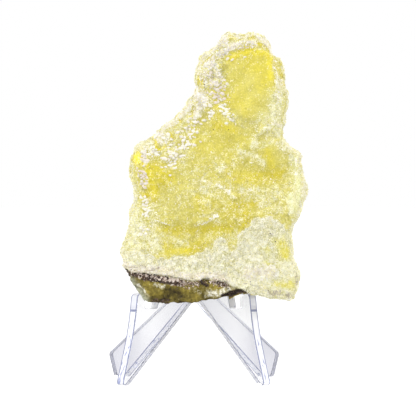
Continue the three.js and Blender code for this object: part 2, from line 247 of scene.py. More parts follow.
# Broad swells and hollows of the crust: crest, half width and height.
SWELLS = (
    (((16.5, 96), (18.5, 86)), 7.0, 0.8),
    (((1, 53.5), (7, 54)), 5.5, 0.9),
    (((2.8, 61), (6.5, 60.1), (9.5, 58.6), (12.4, 56)), 0.9, 0.2),
    (((14.4, 57.4), (17.5, 59)), 0.9, 0.25),
    (((23.2, 71), (24, 66)), 3.0, 0.8),
    (((17.4, 71.6), (18.6, 75), (22, 77.2), (26, 76.2)), 0.8, 0.4),
    (((28.9, 57.2), (29.3, 52.4)), 1.6, 0.5),
    (((-15.5, 66), (-11, 63)), 3.5, 0.7),
    (((14, 63.6), (25, 63)), 2.0, -0.7),
    (((-9, 46.7), (4, 46.3), (12, 48)), 2.2, -0.6),
    (((-9, 40.6), (1, 41.4)), 1.8, -0.4),
    (((13, 54), (18, 55)), 1.5, -0.5),
    (((2, 70), (10, 72)), 6.0, -0.6),
)
# Bulges of the rock's lower edge: crest, half width and height.
ROCK_BULGES = (
    (((-14.8, 25.8), (-13.6, 25.4)), 1.0, 0.6),
    (((-3.6, 25.6), (0.8, 25.6)), 1.4, 0.8),
)
# Patches of the rock: the mottled seam, dark oxide crusts and a dark stretch under a pale face, grey
# broken faces, cream lumps.
SEAM_PATCHES = (
    (((-19, 34), (-14.4, 33), (-10, 32.2), (-6, 31.4), (-3.6, 30.6)), 1.2, 1.1),
    (((-3, 30.3), (1.6, 30.6)), 1.1, 0.5),
    (((5.2, 31.4), (6.6, 31.2), (10, 30.2)), 1.2, 0.7),
)
DARK_PATCHES = (
    (((-20.6, 35), (-19.2, 33)), 0.5, 0.9),
    (((-18.5, 33.4), (-16.6, 32.8)), 0.35, 1.1),
    (((-15.1, 32), (-11, 31.5)), 0.4, 1.4),
    (((-10, 31.1), (-4.2, 30.4)), 0.4, 1.4),
    (((-12, 25.9), (-7, 25.6)), 0.5, 0.6),
    (((2.2, 31.7), (4.2, 29.8)), 0.6, 0.95),
    (((7.2, 31.1), (10.2, 29.9)), 0.6, 0.75),
    # A dark stretch under the pale grey face on the right of the rock.
    (((8.8, 26.7), (12.5, 27.9), (16.6, 28.9)), 0.9, 1.3),
    (((-12, 25), (-8, 24.9)), 0.6, 0.55),
)
GREY_PATCHES = (
    (((-18.6, 31), (-16.2, 27.4), (-14.4, 25.2)), 1.3, 1.0),
)
CREAM_PATCHES = (
    (((4.4, 27.4), (7.4, 27.6), (9.8, 28.2)), 1.4, 0.72),
    (((-13.2, 26.4), (-16.6, 30.2)), 0.3, 0.8),
    (((-1, 29.4), (1.6, 28.2)), 0.8, 0.4),
    (((8.8, 28.7), (13.4, 29.6)), 0.8, 0.8),
    (((-11.4, 30.4), (-9.6, 29.6)), 1.0, 0.5),
)

# Bands of white nodules: crest, half width, number, least and greatest radius, rose tint.
NODULE_BANDS = (
    (((5, 93.4), (7.4, 91.6), (7, 88.6), (8, 86.4)), 1.9, 40, 0.3, 0.8, 0.9),
    (((8.4, 85.4), (9.8, 82.6), (11.4, 79.6)), 1.2, 20, 0.3, 0.7, 0.1),
    (((4, 95.4), (6.4, 98.4), (9, 100.2), (12.3, 102), (15.7, 102.9), (18.4, 102.6)),
     1.0, 90, 0.15, 0.42, 0.8),
    (((2, 93.5), (4.5, 93)), 1.3, 14, 0.25, 0.5, 0.9),
    (((0.5, 89.5), (2.5, 86.5), (2.8, 84)), 1.4, 24, 0.3, 0.7, 0.4),
    (((5, 82.6), (5.4, 80.6)), 0.6, 8, 0.4, 0.8, 0.3),
    (((2, 79.8), (-1.5, 75.2), (-4.8, 70.9), (-7.6, 66.2)), 2.4, 80, 0.25, 0.7, 0.4),
    (((-8.6, 75.8), (-10, 73.4)), 1.3, 18, 0.3, 0.8, 0.3),
    (((-14.7, 70), (-14.6, 66.8)), 0.7, 12, 0.35, 0.8, 0.7),
    (((-14.6, 71.2), (-10.8, 69.6)), 1.1, 22, 0.3, 0.8, 0.2),
    (((-17, 64.2), (-15.2, 63), (-15, 60.2)), 1.1, 24, 0.3, 0.6, 1.0),
    (((-14.6, 56.6), (-14, 51.2)), 0.8, 20, 0.35, 0.75, 0.3),
    (((-15.8, 47.6), (-14.6, 46)), 0.9, 10, 0.35, 0.7, 0.3),
    (((-11.7, 49.6), (-7.2, 48.1)), 0.15, 18, 0.12, 0.3, 0.0),
    (((-8, 48.4), (-7.2, 48.1)), 0.2, 3, 0.35, 0.45, 0.0),
    (((0.4, 47.8), (3.5, 48.6), (6, 50)), 0.3, 26, 0.12, 0.28, 0.0),
    (((5.2, 50), (7.2, 51)), 0.3, 7, 0.3, 0.45, 0.0),
    (((10.1, 98.4), (12.2, 98)), 0.05, 2, 0.45, 0.5, 0.4),
    (((15.6, 98.9), (15.8, 98.9)), 0.05, 1, 0.4, 0.45, 0.4),
)
# Dark specks in the crust: x, z and radius.
DARK_SPECKS = (
    (3.3, 90.5, 0.3), (3.5, 89.8, 0.25), (6.1, 76.8, 0.25), (10.6, 76.8, 0.3), (23, 45.6, 0.3),
    (23.4, 45.3, 0.22), (24.5, 43.2, 0.3), (11.8, 45.9, 0.2), (19.1, 42, 0.18), (22.4, 28.6, 0.3),
    (17, 31.2, 0.25), (26, 50.2, 0.15), (29.5, 36.5, 0.2), (13.5, 66.4, 0.15),
)


# ------------------------------------------------------------------ helpers
def linear(hex_colour):
    """sRGB hex to the linear RGBA that shaders take."""
    channels = [int(hex_colour[i:i + 2], 16) / 255 for i in (1, 3, 5)]
    bent = [c / 12.92 if c <= 0.04045 else ((c + 0.055) / 1.055) ** 2.4 for c in channels]
    return (*bent, 1.0)


def add_node(tree, kind, settings, inputs):
    """Adds a shader node with its settings and its inputs. An input is a value, or else the
    socket, or the node with its first output, that it is linked to."""
    node = tree.nodes.new("ShaderNode" + kind)
    for name, value in settings.items():
        setattr(node, name, value)
    for key, value in inputs.items():
        if isinstance(value, bpy.types.Node):
            value = next(socket for socket in value.outputs if socket.enabled)
        if isinstance(value, bpy.types.NodeSocket):
            tree.links.new(value, node.inputs[key])
        else:
            node.inputs[key].default_value = value
    return node


def new_material(name):
    """An empty node material and its tree."""
    material = bpy.data.materials.new(name)
    material.use_nodes = True
    material.node_tree.nodes.clear()
    return material, material.node_tree


def new_object(name, mesh):
    """Links a mesh to the scene as a named object."""
    piece = bpy.data.objects.new(name, mesh)
    bpy.context.scene.collection.objects.link(piece)
    return piece


def baked(piece):
    """Puts the result of the piece's modifiers in its mesh."""
    graph = bpy.context.evaluated_depsgraph_get()
    mesh = bpy.data.meshes.new_from_object(piece.evaluated_get(graph))
    piece.modifiers.clear()
    piece.data = mesh
    mesh.name = piece.name
    return piece


def vectors(items, name):
    """A vector of each of a mesh's items, such as its place, as the rows of an array."""
    flat = np.empty(len(items) * 3)
    items.foreach_get(name, flat)
    return flat.reshape(-1, 3)


def store_values(mesh, name, values):
    """Keeps a number for each of the mesh's points, for its material."""
    attribute = mesh.attributes.new(name, "FLOAT", "POINT")
    attribute.data.foreach_set("value", values)


def shade_smooth(mesh):
    """Smooth shading on every face."""
    mesh.polygons.foreach_set("use_smooth", np.ones(len(mesh.polygons), dtype=bool))


def smoothstep(x, low, high):
    """0 below low and 1 above high, with an eased step between."""
    t = np.clip((x - low) / (high - low), 0.0, 1.0)
    return t * t * (3 - 2 * t)


def height_on(line, x):
    """Height of a line of (x, z) points above x."""
    xs, zs = zip(*line)
    return np.interp(x, xs, zs)


def distance_to(line, x, z):
    """Distance from points to a line of (x, z) points."""
    nearest = np.full(x.shape, np.inf)
    for (ax, az), (bx, bz) in zip(line, line[1:]):
        dx, dz = bx - ax, bz - az
        t = np.clip(((x - ax) * dx + (z - az) * dz) / (dx * dx + dz * dz), 0, 1)
        nearest = np.minimum(nearest, np.hypot(x - ax - t * dx, z - az - t * dz))
    return nearest


def patches(table, x, z):
    """The strongest of the table's patches at each point."""
    total = np.zeros(x.shape)
    for crest, half_width, strength in table:
        near = np.exp(-(distance_to(crest, x, z) / half_width) ** 2)
        total = np.maximum(total, strength * near)
    return total


def swell_at(x, z):
    """Height of the broad swells and hollows at each point, in mm."""
    total = np.zeros(x.shape)
    for crest, half_width, height in SWELLS:
        total += height * np.exp(-(distance_to(crest, x, z) / half_width) ** 2)
    return total


def in_mm(coordinates):
    """Places in metres as places in mm from the crossing line."""
    return (np.asarray(coordinates) - np.array(CROSSING)) / MM


# Large odd numbers that stir the bits of a cell's place and of a seed, and the bits that are kept.
CELL_STIR = np.array([73856093, 19349663, 83492791], dtype=np.int64)
SEED_STIR = 1013904223
STEP_STIR = 1274126177
KEPT_BITS = 0xFFFFFF
# Brings the noise to about -1 to 1.
NOISE_GAIN = 1.6


def scattered(cells, seed):
    """Three repeatable numbers from 0 to 1 for each whole-numbered cell."""
    key = (cells.astype(np.int64) * CELL_STIR).sum(axis=-1) + seed * SEED_STIR
    numbers = []
    for step in (1, 2, 3):
        key = (key ^ (key >> 13)) * STEP_STIR + step
        numbers.append(((key ^ (key >> 16)) & KEPT_BITS) / (KEPT_BITS + 1))
    return np.stack(numbers, axis=-1)


def noise_at(places, size, seed):
    """Gradient noise of the given grain size in mm, between -1 and 1."""
    points = places / size
    cells = np.floor(points)
    inside = points - cells
    ease = inside ** 3 * (inside * (inside * 6 - 15) + 10)
    total = np.zeros(len(points))
    for corner in np.ndindex(2, 2, 2):
        slope = 2 * scattered(cells + corner, seed) - 1
        share = np.prod(np.where(corner, ease, 1 - ease), axis=1)
        total += share * ((inside - corner) * slope).sum(axis=1)
    return NOISE_GAIN * total


def cells_at(places, size, seed):
    """For cells of the given size in mm: each place's offset from its cell's centre, in cell
    sizes, and three random numbers for that cell."""
    points = places / size
    cells = np.floor(points)
    nearest = np.full(len(points), np.inf)
    offsets = np.zeros((len(points), 3))
    numbers = np.zeros((len(points), 3))
    for step in np.ndindex(3, 3, 3):
        neighbour = cells + step - 1
        random_place = scattered(neighbour, seed)
        offset = points - neighbour - random_place
        distance = (offset ** 2).sum(axis=1)
        closer = distance < nearest
        nearest[closer] = distance[closer]
        offsets[closer] = offset[closer]
        numbers[closer] = random_place[closer]
    return offsets, numbers


def lumps_at(places, size, seed):
    """Rounded lumps of the given size in mm: 1 on their tops and near 0 in their grooves."""
    offsets, _ = cells_at(places, size, seed)
    return 1 - np.clip((offsets ** 2).sum(axis=1), 0, 1)


def facets_at(places, size, seed):
    """Flat broken faces of the given size in mm: each cell is a plane of its own tilt."""
    offsets, numbers = cells_at(places, size, seed)
    return size * (offsets * (2 * numbers - 1)).sum(axis=1)


def depth_share(y, z):
    """Share of the way from the slab's front face, 0, to its back face, 1."""
    front = FRONT_DEPTH + FRONT_LEAN * (z - SLAB_BASE)
    back = BACK_DEPTH + BACK_LEAN * (z - SLAB_BASE)
    return (y - front) / (back - front)


# ------------------------------------------------------------------ settings
class SpecimenSettings(bpy.types.PropertyGroup):
    """Sizes and colours of the mineral specimen."""

    voxel: FloatProperty(
        name="Voxel", description="Mesh spacing of the slab's skin", default=0.3 * MM,
        unit="LENGTH", precision=5)
    lump_height: FloatProperty(
        name="Lump height", description="Height of the rounded crystal lumps",
        default=0.45 * MM, unit="LENGTH", precision=5)
    grain_count: IntProperty(
        name="Grains", description="Number of sugar crystals, and of frost crystals",
        default=22000, min=0)
    crust_colour: FloatVectorProperty(
        name="Crust", description="Yellow of the bare crust", default=linear("#C9BF59"), size=4,
        min=0, max=1, subtype="COLOR")
    deep_colour: FloatVectorProperty(
        name="Deep crust", description="Yellow of the crust's deepest patches",
        default=linear("#CCBD1C"), size=4, min=0, max=1, subtype="COLOR")
    rock_colour: FloatVectorProperty(
        name="Rock", description="Lighter olive of the matrix", default=linear("#9A8A37"), size=4,
        min=0, max=1, subtype="COLOR")
    nodule_colour: FloatVectorProperty(
        name="Nodules", description="White of the nodules", default=linear("#E6E3D6"), size=4,
        min=0, max=1, subtype="COLOR")


class EaselSettings(bpy.types.PropertyGroup):
    """Sizes and colours of the clear easel."""

    edge_radius: FloatProperty(
        name="Edge radius", description="Rounding of the moulded edges", default=0.4 * MM,
        unit="LENGTH", precision=5)
    plate_colour: FloatVectorProperty(
        name="Plates", description="Tint of the clear plates", default=linear("#FCFCFC"), size=4,
        min=0, max=1, subtype="COLOR")


class StageSettings(bpy.types.PropertyGroup):
    """Camera and light."""

    distance: FloatProperty(
        name="Distance", description="From the camera to the crossing of the plates", default=1.0,
        unit="LENGTH")
    elevation: FloatProperty(
        name="Elevation", description="Angle by which the camera looks down",
        default=math.radians(0.5), subtype="ANGLE")
    view_width: FloatProperty(
        name="View width", description="Width seen at that distance", default=127.6 * MM,
        unit="LENGTH")


# ------------------------------------------------------------------ zones of the specimen
# Grain of the noises that fray the zones' borders, in mm.
WARP_SIZE = 3.5
FINE_WARP_SIZE = 1.2
MOTTLE_SIZE = 1.8
FRINGE_SIZE = 2.2
FINE_FRINGE_SIZE = 0.9
# Shares of the way from the front face to the back one. Where two are given, a zone fades in
# between them.
ROCK_BEHIND = (0.66, 0.72)
EDGE_BAND = (0.16, 0.42)
SEEN_FROM_FRONT = 0.6
HIDDEN_BAND = (0.5, 0.75)
# Heights in mm over the matrix line: the layered band of the crust, and the rock that is low, which is
# darkened with painted shade.
LAYER_BAND = (2.9, 1.5)
LOW_BAND = (-1.5, -4.5)
# In mm to the right of the crossing line: where the layered band fades out, and how far the ledge
# has no deep patches and has a rim.
LAYER_END = (14, 8)
LEDGE_PLAIN_END = 21
LEDGE_RIM_END = 26
# Middle (x, z) and half widths of the smooth dome in the head, in mm.
DOME = (18, 89)
DOME_REACH = (7, 10)


def zones(places):
    """Masks from 0 to 1 of the specimen's zones, at places in mm."""
    x, y, z = places.T
    warp_x = x + 1.0 * noise_at(places, WARP_SIZE, 1) + 0.5 * noise_at(places, FINE_WARP_SIZE, 2)
    warp_z = z + 1.0 * noise_at(places, WARP_SIZE, 3) + 0.5 * noise_at(places, FINE_WARP_SIZE, 4)
    mottle = noise_at(places, MOTTLE_SIZE, 5)
    into = depth_share(y, z)
    in_front = into < SEEN_FROM_FRONT

    # The rock lies below the matrix line, which is higher the deeper it is, and behind the crust.
    above = 0.6 * z + 0.4 * warp_z - height_on(MATRIX_LINE, x)
    rock = smoothstep(14 * np.clip(into - 0.15, 0, None) - above, -0.25, 0.25)
    rock = np.maximum(rock, smoothstep(into + 0.12 * mottle, *ROCK_BEHIND))
    crust = 1 - rock
    layer = smoothstep(above, *LAYER_BAND) * smoothstep(x, *LAYER_END)

    # The ledge's upper border is fringed, and has a pale rim.
    fringe = noise_at(places, FRINGE_SIZE, 6) + 0.6 * noise_at(places, FINE_FRINGE_SIZE, 7)
    rise = height_on(LEDGE_LINE, x + 0.5 * mottle) + 0.7 * fringe - z
    below_ledge = smoothstep(rise, -0.25, 0.35)
    rim = smoothstep(rise, -0.1, 0.3) * smoothstep(rise, 1.9, 0.7) * (x < LEDGE_RIM_END)

    # Deep yellow weakens towards the slab's edges. Pale and white keep off it, and grow there: in part
    # the edges' paler crust, in part painted light that keeps the sides, which turn away from the
    # lamps, as bright as the front.
    edge = smoothstep(into + 0.1 * mottle, *EDGE_BAND)
    deep = patches(DEEP_PATCHES, warp_x, warp_z) + 0.15 * mottle
    deep = deep * (1 - below_ledge * (x < LEDGE_PLAIN_END))
    pale = np.maximum(0.2 * below_ledge, patches(PALE_PATCHES, warp_x, warp_z) + 0.15 * mottle)
    pale = pale * (1 - 0.85 * np.clip(deep, 0, 1))
    deep = deep * (1 - 0.4 * edge)
    bare = 1 - np.clip(deep, 0, 1)
    white = patches(WHITE_PATCHES, warp_x, warp_z)
    white = np.maximum(white * (1 - 0.6 * edge), (0.42 * edge + 0.3 * rim) * bare)
    pale = np.maximum(np.maximum(pale, edge * bare), 0.9 * np.clip(white, 0, 1))
    stain = patches(STAIN_PATCHES, warp_x, warp_z) * (1 - 0.7 * edge)

    dome = np.exp(-((x - DOME[0]) / DOME_REACH[0]) ** 4 - ((z - DOME[1]) / DOME_REACH[1]) ** 4)
    masks = {
        "rock": rock, "pale": pale * crust, "deep": deep * crust, "white": white * crust,
        "stain": stain * crust, "layer": layer * crust, "ledge": below_ledge * crust,
        "vivid": (deep - 1) * crust,
        "sleek": np.maximum(dome, patches(SMOOTH_PATCHES, warp_x, warp_z)) * (1 - edge),
        "low": smoothstep(above, *LOW_BAND), "hidden": smoothstep(into, *HIDDEN_BAND),
        "seam": patches(SEAM_PATCHES, warp_x, z) * in_front,
        "dark": patches(DARK_PATCHES, warp_x, z) * in_front,
        "grey": patches(GREY_PATCHES, warp_x, z) * in_front,
        "cream": patches(CREAM_PATCHES, warp_x, z) * in_front,
    }
    return {name: np.clip(mask, 0, 1) for name, mask in masks.items()}


STORED_ZONES = (
    "pale", "deep", "white", "stain", "layer", "ledge", "sleek", "seam", "dark", "low", "grey",
    "cream", "hidden", "vivid",
)


def store(mesh, masks):
    """Keeps the zones on the mesh's points for the materials."""
    for name in STORED_ZONES:
        store_values(mesh, name, masks[name])


# ------------------------------------------------------------------ materials
# Settings of the nodes that lay one colour over another, and the numbers of their inputs.
COLOUR_MIX = {"data_type": "RGBA"}
COLOUR_MULTIPLY = {"data_type": "RGBA", "blend_type": "MULTIPLY"}
FACTOR = 0
UNDER = 6
OVER = 7


def coated(tree, colour, zone, pull, noise, levels, most, coat):
    """Lays a coat over a colour where the noise, pulled by the zone, passes from the lower level
    to the upper one. The coat covers at most the given share of the colour."""
    pulled = add_node(tree, "Math", {"operation": "MULTIPLY_ADD"}, {0: zone, 1: pull, 2: noise})
    share = add_node(tree, "MapRange", {}, {
        "Value": pulled, "From Min": levels[0], "From Max": levels[1], "To Max": most})
    return add_node(tree, "Mix", COLOUR_MIX, {FACTOR: share, UNDER: colour, OVER: coat})


def shaded(tree, colour, noise, levels, tones):
    """Darkens and lightens a colour as a noise goes from the lower level to the upper."""
    tone = add_node(tree, "MapRange", {}, {
        "Value": noise, "From Min": levels[0], "From Max": levels[1], "To Min": tones[0],
        "To Max": tones[1]})
    return add_node(tree, "Mix", COLOUR_MULTIPLY, {FACTOR: 1.0, UNDER: colour, OVER: tone})


def brucite_material():
    """Brucite crust: sugary translucent crystal, which glows softly and sparkles a little."""
    settings = bpy.context.scene.specimen_settings
    material, tree = new_material("brucite crystal crust")
    zone = {name: add_node(tree, "Attribute", {"attribute_name": name}, {}).outputs["Fac"]
            for name in ("pale", "deep", "vivid", "white", "stain", "layer", "ledge", "sleek")}
    place = add_node(tree, "TexCoord", {}, {}).outputs["Object"]
    grain, clump, patch = [
        add_node(tree, "TexNoise", {}, {
            "Vector": place, "Scale": 1 / (size * MM), "Detail": 3.0, "Roughness": roughness})
        for size, roughness in ((0.4, 0.65), (1.6, 0.6), (6, 0.5))]
    both = add_node(tree, "Math", {"operation": "ADD"}, {0: grain, 1: clump})
    faded = add_node(tree, "Math", {"operation": "MULTIPLY"}, {0: zone["pale"], 1: 0.6})
    colour = add_node(tree, "Mix", COLOUR_MIX, {
        FACTOR: faded, UNDER: settings.crust_colour, OVER: linear("#E0DB90")})

    # The ledge is granular, the deep patches strong and the sleek ones calm.
    sponge = add_node(tree, "MapRange", {}, {"Value": both, "From Min": 0.82, "From Max": 1.16})
    granular, sugared = [
        add_node(tree, "Mix", COLOUR_MIX, {FACTOR: sponge, UNDER: linear(under), OVER: linear(over)})
        for under, over in (("#C1BC84", "#D2CEBC"), ("#EAE4A0", "#FBF9EE"))]
    granular = add_node(tree, "Mix", COLOUR_MIX, {FACTOR: faded, UNDER: granular, OVER: sugared})
    strong = add_node(tree, "Mix", COLOUR_MIX, {
        FACTOR: zone["ledge"], UNDER: settings.deep_colour, OVER: linear("#DAD45E")})
    calm = add_node(tree, "Mix", COLOUR_MIX, {
        FACTOR: zone["pale"], UNDER: settings.crust_colour, OVER: linear("#DDDEA6")})
    calm = add_node(tree, "Mix", COLOUR_MIX, {
        FACTOR: zone["deep"], UNDER: calm, OVER: linear("#D2C430")})
    for name, coat in (
            ("ledge", granular), ("deep", strong), ("sleek", calm), ("vivid", linear("#EADC34"))):
        colour = add_node(tree, "Mix", COLOUR_MIX, {FACTOR: zone[name], UNDER: colour, OVER: coat})
    colour = shaded(tree, colour, patch, (0.3, 0.7), (0.94, 1.02))
    # Painted shade and light: the grain that also drives the bump darkens its pits and lightens its
    # tops.
    colour = shaded(tree, colour, grain, (0.32, 0.62), (0.8, 1.08))

    # Over them lie pale sugar, the layered band, chalky crusts and stains.
    covered = add_node(tree, "Math", {"operation": "MULTIPLY_ADD"}, {0: zone["pale"], 1: 0.28, 2: both})
    colour = coated(tree, colour, zone["sleek"], -0.14, covered, (1.02, 1.36), 0.8, linear("#F0EED6"))
    fibre = add_node(tree, "MapRange", {}, {"Value": both, "From Min": 0.85, "From Max": 1.15})
    bleached, chalky = [
        add_node(tree, "Mix", COLOUR_MIX, {FACTOR: fibre, UNDER: linear(under), OVER: linear(over)})
        for under, over in (("#C8BF9E", "#E3DDD0"), ("#DED3BF", "#F3F0E6"))]
    colour = add_node(tree, "Mix", COLOUR_MIX, {FACTOR: zone["layer"], UNDER: colour, OVER: bleached})
    colour = coated(tree, colour, zone["white"], 0.8, both, (1.3, 1.55), 0.95, chalky)
    colour = coated(tree, colour, zone["stain"], 0.8, both, (1.35, 1.6), 0.7, linear("#8A7862"))
    bump = add_node(tree, "Bump", {}, {"Height": grain, "Strength": 0.5, "Distance": 0.3 * MM})
    surface = add_node(tree, "BsdfPrincipled", {}, {
        "Base Color": colour, "Roughness": 0.5, "IOR": 1.57, "Subsurface Weight": 0.3,
        "Subsurface Radius": (1.0, 0.85, 0.4), "Subsurface Scale": 1.0 * MM, "Normal": bump})
    add_node(tree, "OutputMaterial", {}, {"Surface": surface})
    return material


def frost_material():
    """Frost on the brucite: the clear tips of small crystals, which scatter white light."""
    material, tree = new_material("brucite frost")
    tone = add_node(tree, "Attribute", {"attribute_name": "tone"}, {}).outputs["Fac"]
    colour = add_node(tree, "Mix", COLOUR_MIX, {
        FACTOR: tone, UNDER: linear("#DCD26C"), OVER: linear("#FAF8F0")})
    surface = add_node(tree, "BsdfPrincipled", {}, {
        "Base Color": colour, "Roughness": 0.35, "IOR": 1.57, "Subsurface Weight": 0.2,
        "Subsurface Radius": (1.0, 0.95, 0.7), "Subsurface Scale": 0.3 * MM})
    add_node(tree, "OutputMaterial", {}, {"Surface": surface})
    return material


def nodule_material():
    """White brucite nodules: opaque porcelain-like beads, some with a pinkish grey cast."""
    material, tree = new_material("white brucite nodule")
    rose = add_node(tree, "Attribute", {"attribute_name": "rose"}, {}).outputs["Fac"]
    white = bpy.context.scene.specimen_settings.nodule_colour
    colour = add_node(tree, "Mix", COLOUR_MIX, {FACTOR: rose, UNDER: white, OVER: linear("#CEBFB3")})
    surface = add_node(tree, "BsdfPrincipled", {}, {
        "Base Color": colour, "Roughness": 0.5, "IOR": 1.57, "Subsurface Weight": 0.2,
        "Subsurface Radius": (1.0, 0.9, 0.7), "Subsurface Scale": 0.5 * MM})
    add_node(tree, "OutputMaterial", {}, {"Surface": surface})
    return material


def matrix_material():
    """Serpentine matrix: dull olive rock that breaks in smooth faces, under a rusty mottled seam."""
    material, tree = new_material("serpentine matrix")
    zone = {name: add_node(tree, "Attribute", {"attribute_name": name}, {}).outputs["Fac"]
            for name in ("seam", "dark", "low", "grey", "cream", "hidden")}
    place = add_node(tree, "TexCoord", {}, {}).outputs["Object"]
    broad, fine, wander, speck = [
        add_node(tree, "TexNoise", {}, {
            "Vector": place, "Scale": 1 / (size * MM), "Detail": detail, "Roughness": roughness})
        for size, detail, roughness in (
            (5, 5.0, 0.65), (0.8, 3.0, 0.7), (17, 4.0, 0.55), (1.1, 2.0, 0.6))]
    # Painted shade: the rock is darker towards its low part, which faces down.
    shaded_low_tone = add_node(tree, "Math", {"operation": "MULTIPLY_ADD"}, {0: zone["low"], 1: -0.13, 2: broad})
    tone = add_node(tree, "MapRange", {}, {"Value": shaded_low_tone, "From Min": 0.22, "From Max": 0.58})
    olive = bpy.context.scene.specimen_settings.rock_colour
    colour = add_node(tree, "Mix", COLOUR_MIX, {FACTOR: tone, UNDER: linear("#332904"), OVER: olive})
    colour = add_node(tree, "Mix", COLOUR_MIX, {
        FACTOR: zone["grey"], UNDER: colour, OVER: linear("#989981")})
    colour = shaded(tree, colour, fine, (0.34, 0.56), (0.55, 1.15))

    # The hidden back has greener stretches, with pale veins where the wandering noise is halfway.
    aside = add_node(tree, "Math", {"operation": "SUBTRACT"}, {0: wander, 1: 0.5})
    away = add_node(tree, "Math", {"operation": "ABSOLUTE"}, {0: aside})
    turn = add_node(tree, "MapRange", {}, {
        "Value": wander, "From Min": 0.42, "From Max": 0.6, "To Max": 0.6})
    greener = add_node(tree, "Math", {"operation": "MULTIPLY"}, {0: turn, 1: zone["hidden"]})
    colour = add_node(tree, "Mix", COLOUR_MIX, {
        FACTOR: greener, UNDER: colour, OVER: linear("#65664A")})
    line = add_node(tree, "MapRange", {}, {
        "Value": away, "From Min": 0.002, "From Max": 0.014, "To Min": 0.55, "To Max": 0.0})
    vein = add_node(tree, "Math", {"operation": "MULTIPLY"}, {0: line, 1: zone["hidden"]})
    colour = add_node(tree, "Mix", COLOUR_MIX, {FACTOR: vein, UNDER: colour, OVER: linear("#BDB892")})

    # The front has cream lumps, the rusty mottled seam and dark oxide.
    rust, chalk = [
        add_node(tree, "MapRange", {}, {"Value": speck, "From Min": low, "From Max": high})
        for low, high in ((0.43, 0.49), (0.48, 0.54))]
    grains = add_node(tree, "Mix", COLOUR_MIX, {
        FACTOR: chalk, UNDER: linear("#AFA67C"), OVER: linear("#E9E6D4")})
    colour = coated(tree, colour, zone["cream"], 0.6, fine, (0.62, 1.0), 1.0, grains)
    mottle = add_node(tree, "Mix", COLOUR_MIX, {
        FACTOR: rust, UNDER: linear("#190E07"), OVER: linear("#7A5A44")})
    mottle = add_node(tree, "Mix", COLOUR_MIX, {FACTOR: chalk, UNDER: mottle, OVER: linear("#DDD0C2")})
    colour = coated(tree, colour, zone["seam"], 0.6, fine, (0.7, 0.85), 1.0, mottle)
    colour = coated(tree, colour, zone["dark"], 0.6, fine, (0.74, 0.95), 1.0, linear("#20150C"))
    bump = add_node(tree, "Bump", {}, {"Height": fine, "Strength": 0.4, "Distance": 0.3 * MM})
    surface = add_node(tree, "BsdfPrincipled", {}, {
        "Base Color": colour, "Roughness": 0.6, "Specular IOR Level": 0.25, "Normal": bump})
    add_node(tree, "OutputMaterial", {}, {"Surface": surface})
    return material


def seam_grain_material():
    """Iron and manganese oxide grains among chalky ones: from nearly black brown to pinkish."""
    material, tree = new_material("oxide and chalk grains")
    tone = add_node(tree, "Attribute", {"attribute_name": "tone"}, {}).outputs["Fac"]
    rust, chalk = [
        add_node(tree, "MapRange", {}, {"Value": tone, "From Min": low, "From Max": high})
        for low, high in ((0.0, 0.5), (0.5, 1.0))]
    colour = add_node(tree, "Mix", COLOUR_MIX, {
        FACTOR: rust, UNDER: linear("#170D07"), OVER: linear("#886A52")})
    colour = add_node(tree, "Mix", COLOUR_MIX, {FACTOR: chalk, UNDER: colour, OVER: linear("#E4D8CC")})
    surface = add_node(tree, "BsdfPrincipled", {}, {"Base Color": colour, "Roughness": 0.5})
    add_node(tree, "OutputMaterial", {}, {"Surface": surface})
    return material


# Where the looks of the clear plates change, in mm: heights over the floor and, for depths,
# distances behind the crossing line. These changes are painted: shade, glints and dark lines.
PAINTED_SHADE_HEIGHTS = (28, 42)
REAR_SHADE_DEPTHS = (15, 19)
GLINT_HEIGHTS = (12, 17)
LIP_HEIGHTS = (22.4, 23)
LIP_DEPTHS = (-16.6, -16.2)
FLOOR_LINE = 22.3
FLOOR_LINE_HALF = 0.35
LINED_HEIGHTS = (21, 22.5)
LINES_OFF_MIDDLE = (1.35, 1.65)


def acrylic_material():
    """Moulded acrylic: water clear, so that its outlines are drawn by what they bend and mirror. Low
    down and on the rear feet, its tint is greyed with painted shade.
    """
    material, tree = new_material("clear acrylic")
    place = add_node(tree, "TexCoord", {}, {}).outputs["Object"]
    parts = add_node(tree, "SeparateXYZ", {}, {"Vector": place})
    aside = add_node(tree, "Math", {"operation": "SUBTRACT"}, {0: parts.outputs["X"], 1: CROSS_X})
    reach = add_node(tree, "Math", {"operation": "ABSOLUTE"}, {0: aside})
    # Below a slanting line, which sinks outwards, the plates are a little greyer: painted shade, as of
    # a shadow seen through them.
    height = add_node(tree, "Math", {"operation": "MULTIPLY_ADD"}, {
        0: reach, 1: 1.3, 2: parts.outputs["Z"]})
    low_painted_shade = add_node(tree, "MapRange", {}, {
        "Value": height, "From Min": PAINTED_SHADE_HEIGHTS[0] * MM, "From Max": PAINTED_SHADE_HEIGHTS[1] * MM})
    clear = bpy.context.scene.easel_settings.plate_colour
    colour = add_node(tree, "Mix", COLOUR_MIX, {FACTOR: low_painted_shade, UNDER: linear("#F3F3F5"), OVER: clear})
    # The rear feet are a little greyer: painted shade.
    rear_feet_shade = add_node(tree, "MapRange", {}, {
        "Value": parts.outputs["Y"], "From Min": CROSS_Y + REAR_SHADE_DEPTHS[0] * MM,
        "From Max": CROSS_Y + REAR_SHADE_DEPTHS[1] * MM})
    colour = add_node(tree, "Mix", COLOUR_MIX, {FACTOR: rear_feet_shade, UNDER: colour, OVER: linear("#D8D8DF")})
    surface = add_node(tree, "BsdfPrincipled", {}, {
        "Base Color": colour, "Roughness": 0.02, "IOR": 1.49, "Transmission Weight": 1.0})
    add_node(tree, "OutputMaterial", {}, {"Surface": surface})
    return material


